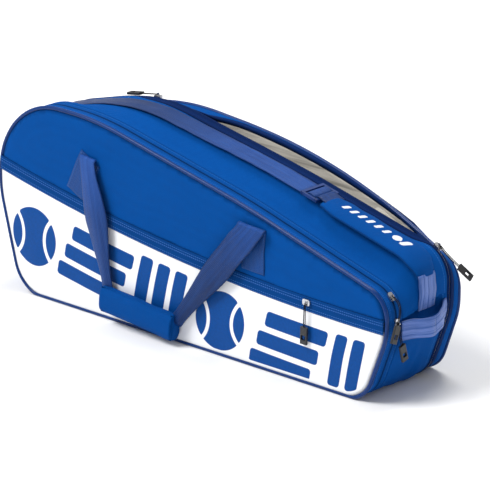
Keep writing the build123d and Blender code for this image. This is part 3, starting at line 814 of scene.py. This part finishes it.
def back_depth(points):
    """Depth of the back's cloth at x, z."""
    to_edge = gap_to(points, BACK_P - BACK_N * EDGE_IN)
    soft = rough(upright(points), 110, 12.0) + 0.3 * rough(upright(points), 35, 14.0)
    swell = 4.0 * smooth(to_edge / 80) * (1 - smooth((to_edge - 60) / 200) * 0.4)
    tuck = 2.4 * (1 - smooth(to_edge / 5))
    return back_y(points[:, 0]) + 0.6 + swell * 0.6 - tuck + soft * smooth(to_edge / 30)


back_line = inset(BACK_P, BACK_N, EDGE_IN, FLOOR_GAP)
panel("back_cloth", back_line, 7.0, "rear_section", "blue_fabric", [m_panel, m_lining],
      ["back_panel"], back_depth, 3.2, flip=True, shade=shade_by(back_line))
panel("back_lining", inset(BACK_P, BACK_N, 9, 4.0), 8.0, "rear_section", "lining_grey",
      [m_lining], ["lining_back"],
      lambda p: back_y(p[:, 0]) - 6.8 - 1.2 * rough(upright(p), 45, 6.0), 0.6)

# The divider and its lining stay inside both the front's and the middle's outline.
lower = (FRONT_P[:, 1] < MID_P[:, 1])[:, None]
low_line = inset(np.where(lower, FRONT_P, MID_P), np.where(lower, FRONT_N, MID_N), 7, 7.0)
for name, y, node in (("divider_sheet", -7.0, "divider"), ("divider_lining", -3.4,
                                                          "lining_front")):
    panel(name, low_line, 12.0, "core", "lining_grey", [m_lining], [node],
          lambda p, y=y: y + 0.7 * rough(upright(p), 70, 2.0), 0.8)

# Base: one flat cloth with a woven runner.
xs, ys = np.linspace(-300, 300, 61), np.linspace(-81, 92, 21)
base = np.array([[(x, min(y, back_y(x) - 6), 0.25 + 0.2 * (1 - cos(x / 30))) for x in xs]
                 for y in ys])
obj = mesh_object("base_cloth_sheet", base, grid_faces(len(ys), len(xs), flip=True),
                  np.array([[(x, y) for x in xs] for y in ys]))
finish_piece(obj, "core", "blue_fabric", [m_base, m_lining], "base_gusset")
thicken(obj, 1.8)


# ---------------------------------------------------------------- piping
PIPING_R, PIPING_SIDES = 2.9, 12


def piping(name, path, normals, body, node):
    """A slightly uneven round cord along a closed path."""
    path = np.array(path, float)
    path[:, 2] = np.maximum(path[:, 2], PIPING_R)
    points, uv = [], []
    radius = PIPING_R * (1 + 0.05 * rough(path, 22, 3.0))
    for k in range(PIPING_SIDES):
        q = 2 * pi * k / PIPING_SIDES
        points.append(path + (normals * cos(q) + DEEP * sin(q)) * radius[:, None])
        uv.append(np.c_[ALONG, np.full(COUNT, k * 1.6)])
    points, uv = np.array(points + points[:1]), np.array(uv + uv[:1])
    obj = mesh_object(name, points, grid_faces(PIPING_SIDES + 1, COUNT, True), uv)
    finish_piece(obj, body, "piping_violet", m_pipe, node)


p, n = section(PANEL_Y + 3)
piping("front_piping_cord", p, n, "front_section", "front_piping")
p = upright(BACK_P) + DEEP * (back_y(BACK_P[:, 0]) - 2.0)[:, None]
piping("rear_piping_cord", p, upright(BACK_N), "rear_section", "rear_piping")


# ---------------------------------------------------------------- straps
def ribbon(name, centres, across, out, widths, body, mat, stands_for, thick=1.5, cols=13,
           cup=0.0, wave=0.0, shade=None, seed=1.0, skew=0.0):
    """A strap along centres; across is its width direction and out its outer side; shade is painted
    shade and light along it.
    """
    centres = np.asarray(centres, float)
    across, out = (unit(np.broadcast_to(a, centres.shape)) for a in (across, out))
    widths = np.broadcast_to(widths, (len(centres),))
    cup = np.broadcast_to(cup, (len(centres),))
    run = run_along(centres)
    t = np.linspace(-1, 1, cols)
    points = (centres[:, None] + across[:, None] * (t[None, :, None] * widths[:, None, None] / 2)
              + out[:, None] * (cup[:, None] * ((t[None] - skew) ** 2))[..., None])
    if wave:
        lump = rough(points, (18, 18, 40), seed) * wave
        points = points + out[:, None] * lump[..., None]
    uv = np.stack([np.repeat(run[:, None], cols, 1), t[None] * widths[:, None] / 2], -1)
    strap_shade = np.ones(points.shape[:2]) if shade is None else np.broadcast_to(
        np.asarray(shade)[:, None], points.shape[:2]).copy()
    # painted shade along both edges of the strap
    strap_shade[:, 0] *= 0.75
    strap_shade[:, -1] *= 0.75
    first = np.cross(points[0, 1] - points[0, 0], points[1, 0] - points[0, 0])
    faces = facing(grid_faces(len(centres), cols), first, out[0])
    obj = mesh_object(name, points, faces, uv, strap_shade)
    finish_piece(obj, body, "webbing_violet", mat, *stands_for)
    return thicken(obj, thick)


def top_run(x0, x1, z_end, y, out):
    """Points over the top from x0 to x1, or to z_end down the ends, at depth y and height out."""
    keep = [i for i in range(COUNT) if x0 <= MID_P[i, 0] <= x1 and MID_P[i, 1] > z_end]
    p, n = section(y, out)
    return p[keep], n[keep]


# The shoulder webbing lies on the top and ends in a turn through the ladder lock.
mid_y = sum(STRAP_Y) / 2
p, n = top_run(-400, 168, 162, mid_y, 2.6)
lift = 1.3 * np.maximum(rough(p, 120, 3.0), -0.4) * smooth((150 - p[:, 0]) / 40)
p = p + n * lift[:, None]
# Painted shade: the webbing is darkest at the head end and a little brighter than its colour near
# the buckle.
dim = 0.5 + 0.6 * smooth((p[:, 0] + 190) / 260)
ribbon("shoulder_webbing", p, DEEP, n, 38.5, "core", m_web,
       ["strap_webbing", "strap_anchor"], 1.6, 15, 0.5, 0.7, dim)
SLOPE_X, SLOPE_Z, SLOPE_RUN, SLOPE_DROP = 120, 261, 260, 69     # the straight part of the top
slope = unit(np.array([SLOPE_RUN, 0, -SLOPE_DROP]))
rise = np.array([-slope[2], 0, slope[0]])


def on_slope(*places):
    """Points above the straight part of the top, from each x and height."""
    return [np.array([x, mid_y, SLOPE_Z - (x - SLOPE_X) * SLOPE_DROP / SLOPE_RUN]) + rise * h
            for x, h in places]


path = on_slope((166, 2.8), (170, 2.4), (173, 2.8), (174.8, 5.0), (176.4, 7.6), (179, 8.8),
                (183, 9.1), (187, 8.7), (189.6, 7.2), (191, 4.4), (189.6, 2.0), (184, 1.2),
                (176, 1.0))
ribbon("webbing_turn", path, DEEP, rise, 38, "core", m_web, [], 1.3, 11)
path = on_slope((193, 2.6), (192.2, 5.0), (193, 7.8), (196, 8.6), (199.4, 7.8), (203, 6.6),
                (208, 6.0), (214, 5.6))
ribbon("pad_neck", path, DEEP, rise, 34, "core", m_web_shaded, [], 1.6, 11, 0.0, 0.3)


# ---------------------------------------------------------------- padded shapes
CLOTH_FRAMES = 20
PAD_SIDES, PAD_UNDERSIDE, BINDING_SIDES, BINDING_R = 44, 0.12, 8, 1.5


def stuffed_pad(name, centres, out, widths, thicks):
    """A stuffed pad along centres: crowned outside, flatter inside, closed at both ends."""
    around = PAD_SIDES
    q = np.linspace(0, 2 * pi, around, endpoint=False)
    c, s = np.cos(q), np.sin(q)
    c = np.sign(c) * np.abs(c) ** 0.8
    s = np.where(s > 0, np.abs(s) ** 0.75, -np.abs(s) ** 0.75 * PAD_UNDERSIDE)
    points = (centres[:, None] + DEEP * (c[None, :, None] * widths[:, None, None] / 2)
              + out[:, None] * (s[None, :, None] * thicks[:, None, None]))
    lump = rough(points, 26, 5.0) * 0.8
    points = points + (out[:, None] * (s > 0)[None, :, None]) * lump[..., None]
    run = run_along(centres)
    uv = np.stack([np.repeat(run[:, None], around, 1), c[None] * widths[:, None] / 2], -1)
    ends = np.vstack([points.reshape(-1, 3), points[0].mean(0), points[-1].mean(0)])
    uv = np.vstack([uv.reshape(-1, 2), uv[0].mean(0), uv[-1].mean(0)])
    obj = mesh_object(name, ends, capped_faces(len(centres), around), uv, extra=pad_marks(uv))
    turn_out(obj)
    return finish_piece(obj, "core", "padded_blue", m_pad_marked, "shoulder_pad")


def turn_out(obj):
    """Turns a closed mesh's faces outwards."""
    mesh = obj.data
    volume = 0.0
    for f in mesh.polygons:
        a, b, c = (mesh.vertices[i].co for i in f.vertices[:3])
        volume += a.dot(b.cross(c))
        if len(f.vertices) == 4:
            d = mesh.vertices[f.vertices[3]].co
            volume += a.dot(c.cross(d))
    if volume < 0:
        mesh.flip_normals()


def read_points(mesh):
    """A mesh's points, in metres."""
    flat = np.zeros(len(mesh.vertices) * 3)
    mesh.vertices.foreach_get("co", flat)
    return flat.reshape(-1, 3)


def plump(obj, cap, pinned):
    """Fills a closed cloth shape by simulation, moving no point further than cap (mm)."""
    scene = bpy.context.scene
    mesh = obj.data
    before = read_points(mesh)
    stand_in = bpy.data.objects.new("cloth_work", mesh.copy())
    scene.collection.objects.link(stand_in)
    group = stand_in.vertex_groups.new(name="pin")
    group.add([int(i) for i in np.nonzero(pinned)[0]], 1.0, "REPLACE")
    settings = stand_in.modifiers.new("cloth", "CLOTH").settings
    settings.quality, settings.mass = 6, 0.2
    settings.tension_stiffness = settings.compression_stiffness = 12
    settings.shear_stiffness, settings.bending_stiffness = 6, 0.4
    settings.use_pressure, settings.uniform_pressure_force = True, 4.0
    settings.effector_weights.gravity = 0
    settings.vertex_group_mass = "pin"
    for step in range(1, CLOTH_FRAMES + 1):
        scene.frame_set(step)
    shaped = stand_in.evaluated_get(bpy.context.evaluated_depsgraph_get()).to_mesh()
    move = read_points(shaped) - before
    far = np.linalg.norm(move, axis=1, keepdims=True)
    move = move * np.minimum(1.0, cap * MM / np.maximum(far, 1e-9))
    mesh.vertices.foreach_set("co", (before + move).ravel())
    mesh.update()
    scene.frame_set(1)
    bpy.data.objects.remove(stand_in)


# Shoulder pad along the top, round the corner and down the handle end.
p, n = top_run(200.5, 400, 168, sum(PAD_Y) / 2, 1.4)
run = run_along(p)
fine = np.r_[np.linspace(0, 22, 12), np.linspace(26, run[-1] - 8, 44), run[-1] - 4, run[-1] - 1.5,
             run[-1]]
centres, outs = resampled(p, fine, run), unit(resampled(n, fine, run))
width = 50 - 12 * (1 - smooth(fine / 34)) - 8 * (1 - smooth(fine / 4))
width = width * (1 - 0.30 * smooth((fine - run[-1] + 28) / 28))
thick = 8.2 * np.clip(fine / 10, 0.25, 1) ** 0.5 * (1 - 0.45 * smooth((fine - run[-1] + 14) / 14))


def pad_marks(uv):
    """Plain slanted marks along the pad."""
    u, v = uv[:, 0], uv[:, 1]
    lean = u - 0.35 * v
    shapes = [box_field(lean, v, 34 + 15 * k, 0, 3.4, 6.5, 1.0) for k in range(6)]
    shapes += [np.hypot(u - 128, v) - 7.5, box_field(lean, v, 144, 0, 4.2, 9.0, 1.5)]
    return {"ink": np.minimum.reduce(shapes)}


pad = stuffed_pad("pad", centres, outs, width, thick)
seam = np.abs(np.tile(np.cos(np.linspace(0, 2 * pi, PAD_SIDES, endpoint=False)),
                      len(centres))) > 0.985
plump(pad, 2.5, np.r_[seam, True, True])
subdivided = pad.modifiers.new("smooth", "SUBSURF")
subdivided.levels = subdivided.render_levels = 1
for side, name in ((-1, "pad_binding_front"), (1, "pad_binding_back")):
    edge = centres + DEEP * side * (width / 2)[:, None] + outs * 0.6
    turns = [2 * pi * k / BINDING_SIDES for k in range(BINDING_SIDES + 1)]
    points = np.array([edge + (outs * cos(q) + DEEP * sin(q)) * BINDING_R for q in turns])
    uv = np.array([np.c_[fine, np.full(len(fine), k)] for k in range(len(turns))])
    obj = mesh_object(name, points, grid_faces(len(turns), len(edge)), uv)
    finish_piece(obj, "core", "padded_blue", m_binding)

# End tab: satin webbing from under the pad to the gusset.
tab_i = [i for i in range(COUNT) if MID_P[i, 0] > 340 and 126 <= MID_P[i, 1] <= 176]
p, n = section(-5, 2.6)
p, n = p[tab_i], n[tab_i]
length = run_along(p)
t = np.linspace(0, 1, 16)
p, n = resampled(p, t * length[-1], length), unit(resampled(n, t * length[-1], length))
p = p + n * (3.6 * (1 - smooth(t / 0.35)) + 2.0 * np.sin(pi * t) ** 2)[:, None]
ribbon("end_tab", p, DEEP, n, 36, "core", m_satin, ["strap_end_tab"], cup=-1.0, wave=1.2,
       seed=6.0)

# ---------------------------------------------------------------- grab handle
# It is built in two halves, each from its sewn root to the handle's middle.
GRAB_Z, GRAB_FAR_X, y_mid = 109.0, 401.5, -8.0
for name, y_core, root, node in (("grab_front", -54.0, 378.5, "grab_handle"),
                                 ("grab_back", 38.0, 382.5, "grab_handle_tabs")):
    t = np.linspace(0, 1, 18)
    y = y_core + (y_mid - y_core) * t
    x = root + (GRAB_FAR_X - root) * smooth(t * 1.15) ** 0.8
    centre = np.c_[x, y, GRAB_Z + 2.5 * np.cos(t * 2.2) + 0.12 * (y + 8)]
    out = unit(np.cross(unit(np.gradient(centre, axis=0)), UP))
    out = out * (1 if y_mid > y_core else -1)
    out = out * np.sign(out[:, :1] + 1e-6)
    obj = ribbon(name, centre, UP, out, 29, "core", m_satin, [node], cols=15, cup=-1.5,
                 wave=2.4, seed=9.0)
    # the piece is taken off its body and its thickness made real
    world = obj.matrix_world.copy()
    obj.parent = None
    obj.matrix_world = world
    bpy.context.view_layer.objects.active = obj
    with bpy.context.temp_override(object=obj, active_object=obj):
        bpy.ops.object.modifier_apply(modifier="thickness")
    del obj["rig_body"]
    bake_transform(obj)


# ---------------------------------------------------------------- carry handles
fold_axis = unit(np.array([FOLD_R[0] - FOLD_L[0], 0, FOLD_R[1] - FOLD_L[1]], float))


FOLD_ARC_R = 4.4     # radius of the webbing's fold


def carry_strap(name, fold, grip, y_fold, side, body, mat, node, twist, narrow, bow,
                gather=1.0, skew=0.0):
    """Webbing that comes up behind its fold, over it and down to the grip."""
    fold3 = np.array([fold[0], y_fold, fold[1]], float)
    grip3 = np.array([grip[0], y_fold + side * 4.0, grip[1]], float)
    down = unit(grip3 - fold3)
    centres, across, outs, widths = [], [], [], []
    side_y = np.array([0, side, 0.0])
    lift = unit(-down - fold_axis * ((-down) @ fold_axis))
    slant_width = WEB / abs(np.linalg.norm(np.cross(fold_axis, down)))
    for q in np.linspace(-0.12 * pi, pi * 0.5, 9):
        # round the fold, from behind to the front
        outs.append(side_y * sin(q) + lift * cos(q))
        centres.append(fold3 + FOLD_ARC_R * outs[-1])
        across.append(fold_axis)
        widths.append(gather * slant_width)
    flat_across = unit(np.cross(down, side_y))
    flat_across = flat_across * np.sign(flat_across @ fold_axis)
    for t in np.linspace(0.04, 1.0, 34):
        base_at = fold3 + side_y * FOLD_ARC_R + (grip3 - fold3) * t
        mix = smooth(t / 0.25)
        a = unit(fold_axis * (1 - mix) + flat_across * mix)
        turn = twist * smooth((t - 0.15) / 0.85)
        a = unit(a * cos(turn) + side_y * sin(turn))
        centres.append(base_at + side_y * bow * sin(pi * t))
        across.append(a)
        o = unit(np.cross(a, down))
        outs.append(o * np.sign(o @ side_y))
        full = gather * slant_width * (1 - mix)
        full = full + WEB * (gather + (1 - gather) * smooth(t / 0.5)) * mix
        widths.append(full * (1 - narrow * smooth((t - 0.35) / 0.6)))
    t = np.linspace(0, 1, len(centres))
    cup = 4.6 * smooth((t - 0.2) / 0.4)
    # Painted light and shade: the strap is lit near its fold and darker towards the grip.
    shade = 1.45 - 0.65 * smooth(t / 0.7)
    ribbon(name, centres, across, outs, widths, body, mat, [node], 1.5, 15, -cup, 0.9, shade,
           4.0 + twist, skew)


LEFT, RIGHT = (FOLD_L, (-139, 47)), (FOLD_R, (-2, 37))      # each strap's fold and grip end
carry_strap("carry_left", *LEFT, FRONT_FOLD_Y, -1, "front_handle", m_web,
            "handle_strap_left", 0.3, 0.55, 3.0, 0.68, -0.35)
carry_strap("carry_right", *RIGHT, FRONT_FOLD_Y, -1, "front_handle", m_web_shaded,
            "handle_strap_right", -0.15, 0.5, 3.5, 0.95)
carry_strap("rear_carry_left", *LEFT, REAR_FOLD_Y, 1, "rear_handle", m_web_shaded,
            "rear_strap_left", 0.3, 0.45, 2.0)
carry_strap("rear_carry_right", *RIGHT, REAR_FOLD_Y, 1, "rear_handle", m_web_shaded,
            "rear_strap_right", -0.2, 0.45, 2.5)


GRIP_LENGTH = 138


def grip_pad(name, y, y0, y1, body, node, seed):
    """One side of the padded sleeve between the straps, from depth y0 to y1."""
    a, b = np.array([GRIP_L[0] - 2.0, y, GRIP_L[1]]), np.array([GRIP_R[0] + 2.0, y, GRIP_R[1]])
    along = unit(b - a)
    up = unit(np.cross(along, (0, -1.0, 0)))
    up = up * np.sign(up[2])
    t = np.linspace(0, 1, 40)
    centres = a + (b - a) * t[:, None]
    q = np.linspace(0, 2 * pi, 40, endpoint=False)
    cy, cz = np.cos(q), np.sin(q)
    cy = np.sign(cy) * np.abs(cy) ** 0.75 * 10.6
    cz = np.sign(cz) * np.abs(cz) ** 0.6 * 19.5
    points = centres[:, None] + DEEP * cy[None, :, None] + up * cz[None, :, None]
    lump = rough(points, (34, 20, 22), seed) * 1.3
    points = points + unit(points - centres[:, None]) * lump[..., None]
    points[..., 1] = np.clip(points[..., 1], y0, y1)
    flat = np.vstack([points.reshape(-1, 3), points[0].mean(0) + along * 1.5,
                      points[-1].mean(0) - along * 1.5])
    uv = np.vstack([np.stack([np.repeat((t * GRIP_LENGTH)[:, None], len(q), 1),
                              np.repeat(cz[None], len(t), 0)], -1).reshape(-1, 2),
                    (0, 0), (GRIP_LENGTH, 0)])
    obj = mesh_object(name, flat, capped_faces(len(centres), len(q)), uv)
    turn_out(obj)
    plump(obj, 2.2, np.r_[np.repeat((t < 0.03) | (t > 0.97), len(q)), True, True])
    limits = read_points(obj.data)
    limits[:, 1] = np.clip(limits[:, 1], y0 * MM, y1 * MM)
    obj.data.vertices.foreach_set("co", limits.ravel())
    finish_piece(obj, body, "padded_blue", m_pad, node)


grip_pad("grip_inner", FRONT_GRIP_Y, FLAP_CUT_Y + 0.2, -91.0, "front_handle", "handle_wrap", 3.0)
grip_pad("grip_flap", FRONT_GRIP_Y, -112.4, FLAP_CUT_Y - 0.2, "front_grip_flap", "wrap_flap", 3.0)
grip_pad("rear_grip", REAR_GRIP_Y, 104.3, 125.8, "rear_handle", "rear_handle_grip", 8.0)


def patch(name, foot, fold, y_of, side, body, nodes_for):
    """The sewn end of a carry strap, from its foot up to the fold."""
    foot, fold = np.array(foot, float), np.array(fold, float)
    d = unit(fold - foot)
    cross = np.array([d[1], -d[0]])
    t = np.linspace(0, 1, 22)
    s = np.linspace(-1, 1, 13)
    rows = []
    for centre in foot + (fold + d * 2.0 - foot) * t[:, None]:
        at = centre + cross * (s * (WEB - 1.0) / 2)[:, None]
        # the lower edge lies along the pocket's zip
        at[:, 1] += np.maximum(below_arc(at) - (POCKET_BAND_R - 1.0), 0)
        rows.append(at)
    rows = np.array(rows)
    y = y_of(rows.reshape(-1, 2)).reshape(rows.shape[:2])
    points = np.stack([rows[..., 0], y, rows[..., 1]], -1)
    run = np.linalg.norm(fold - foot)
    uv = np.stack([np.repeat((t * run)[:, None], len(s), 1),
                   np.repeat(s[None] * (WEB - 1) / 2, len(t), 0)], -1)
    normal = np.cross(points[5, 6] - points[5, 5], points[6, 5] - points[5, 5])
    faces = facing(grid_faces(len(t), len(s)), normal, DEEP * side)
    obj = mesh_object(name, points, faces, uv)
    finish_piece(obj, body, "webbing_violet", m_patch, *nodes_for)
    thicken(obj, 1.2)


patch("patch_left", PATCH_L, FOLD_L, lambda p: front_y(p) - 1.5, -1, "front_section",
      ["front_handle_patches"])
patch("patch_right", PATCH_R, FOLD_R, lambda p: front_y(p) - 1.5, -1, "front_section", [])
patch("rear_patch_left", PATCH_L, FOLD_L, lambda p: back_depth(p) + 1.5, 1, "rear_section",
      ["rear_handle_patches"])
patch("rear_patch_right", PATCH_R, FOLD_R, lambda p: back_depth(p) + 1.5, 1, "rear_section", [])

# ---------------------------------------------------------------- zip pulls
# Each pull: the slider's eye, the points down to the pull, the side the cord's two strands are
# spread to, and the cord's length in metres.
EYES = {"pocket": ((238, -93.7, 123.774), [(237, -93.7, 87.774)], (1, 0, 0), 0.0736),
        "front_upper": ((369.698, -65, 158.689), [(387, -65, 146), (387.5, -75, 122)],
                        (0, 1, 0), 0.0934),
        "front_lower": ((381.3, -65, 120.858), [(382.5, -65, 109.858), (382, -58, 87.858)],
                        (0, 1, 0), 0.0698),
        "rear_handle": ((359.305, 48.15, 200.436), [(373.5, 48.15, 188.5), (386, 59.15, 172)],
                        (0, 1, 0), 0.0848),
        "rear_head": ((-173.473, 48.15, 313.132), None, (0, 1, 0), 0.0710)}
# The head end's pull lies on the outline's arc.
head_centre, head_r, head_at = np.array([-154.878, -41.681]), 350 + 3.6, radians(98.6)
head_end = head_centre + head_r * np.array([cos(head_at), sin(head_at)])
STRAND = 1.4        # half the gap between the two strands, mm
names = {"pocket": ("pocket_pull", "pocket_slider"),
         "front_upper": ("front_pull_upper", "front_slider_upper"),
         "front_lower": ("front_pull_lower", "front_slider_lower"),
         "rear_handle": ("rear_pull_handle", "rear_slider_handle"),
         "rear_head": ("rear_pull_head", "rear_slider_head")}
for key, (eye, down, side, length) in EYES.items():
    body = names[key][0]
    eye, side = np.array(eye, float), np.array(side, float)
    down = [np.array(p, float) for p in (down or [(head_end[0], 48.15, head_end[1])])]
    before = down[-2] if len(down) > 1 else eye
    along = unit(down[-1] - before)
    square = unit(side - along * (side @ along))
    shifts = [side * STRAND] * (len(down) - 1) + [square * STRAND]
    route = [p + s for p, s in zip(down[::-1], shifts[::-1])]
    route += [eye + side * STRAND, eye - side * STRAND]
    route += [p - s for p, s in zip(down, shifts)]
    curve = bpy.data.curves.new(body + "_line", "CURVE")
    curve.dimensions = "3D"
    spline = curve.splines.new("NURBS")
    spline.points.add(len(route) - 1)
    for point, at in zip(spline.points, route):
        point.co = (*(at * MM), 1.0)
    spline.order_u = 3
    spline.use_endpoint_u = True
    spline.resolution_u = 12
    curve.bevel_depth, curve.bevel_resolution = CORD_D / 2, 4
    curve.use_fill_caps = True
    cord = bpy.data.objects.new(body + "_line", curve)
    bpy.context.scene.collection.objects.link(cord)
    finish_piece(cord, body, "cord_black", m_cord, body + "_cord")

# ---------------------------------------------------------------- carried-over frame pieces
plain = {"base_board": m_board, "ladder_lock": m_buckle}
for pull, slider in names.values():
    plain[pull + "_grip"] = m_black
    plain[slider] = m_metal
for node, mat in plain.items():
    obj = nodes[node]
    obj.data.materials.clear()
    obj.data.materials.append(mat)
    m = obj.modifiers.new("edges", "BEVEL")
    m.width = 0.0012 if node == "ladder_lock" else 0.0005
    m.segments, m.limit_method, m.angle_limit = 3, "ANGLE", radians(40)

# ---------------------------------------------------------------- studio
floor_mesh = bpy.data.meshes.new("floor")
floor_mesh.from_pydata([(-30, -30, 0), (30, -30, 0), (30, 30, 0), (-30, 30, 0)], [],
                       [(0, 1, 2, 3)])
floor = bpy.data.objects.new("floor", floor_mesh)
bpy.context.scene.collection.objects.link(floor)
f = Nodes("floor_paper")
soft = f.noise(f.coords.outputs["Object"], 3.0, 3.0)
floor_mesh.materials.append(f.surface(Base_Color=f.mix(soft, (0.90, 0.90, 0.90),
                                                       (0.93, 0.93, 0.93)), Roughness=0.9))

world = bpy.data.worlds.new("studio")
world.use_nodes = True
world.node_tree.nodes["Background"].inputs[0].default_value = (1.0, 1.0, 1.0, 1.0)
world.node_tree.nodes["Background"].inputs[1].default_value = 0.5
bpy.context.scene.world = world


def area(name, at, target, size, power):
    """A round white area light."""
    light = bpy.data.lights.new(name, "AREA")
    light.shape, light.size, light.energy = "DISK", size, power
    obj = bpy.data.objects.new(name, light)
    obj.location = at
    obj.rotation_euler = (Vector(target) - Vector(at)).to_track_quat("-Z", "Y").to_euler()
    bpy.context.scene.collection.objects.link(obj)


area("key", (-1.4, -2.4, 2.6), (0, 0, 0.15), 1.0, 26)
area("top", (0.1, 0.9, 3.2), (0, 0, 0.2), 1.4, 50)
sun = bpy.data.lights.new("sun", "SUN")
sun.energy, sun.angle = 2.1, radians(28)
obj = bpy.data.objects.new("sun", sun)
obj.rotation_euler = Vector((0.45, 0.62, -1.0)).to_track_quat("-Z", "Y").to_euler()
bpy.context.scene.collection.objects.link(obj)

bpy.context.scene.view_settings.view_transform = "Standard"

CAMERA_AZ, CAMERA_EL, CAMERA_FAR = radians(42), radians(19), 4.2
target = Vector((0.0427, 0.0, 0.1392))
back = Vector((sin(CAMERA_AZ) * cos(CAMERA_EL), -cos(CAMERA_AZ) * cos(CAMERA_EL),
               sin(CAMERA_EL)))
camera = bpy.data.cameras.new("camera")
camera.lens, camera.sensor_width, camera.clip_end = 214.2, 36.0, 100.0
shot = bpy.data.objects.new("camera", camera)
shot.location = target + back * CAMERA_FAR
shot.rotation_euler = (-back).to_track_quat("-Z", "Y").to_euler()
bpy.context.scene.collection.objects.link(shot)
bpy.context.scene.camera = shot
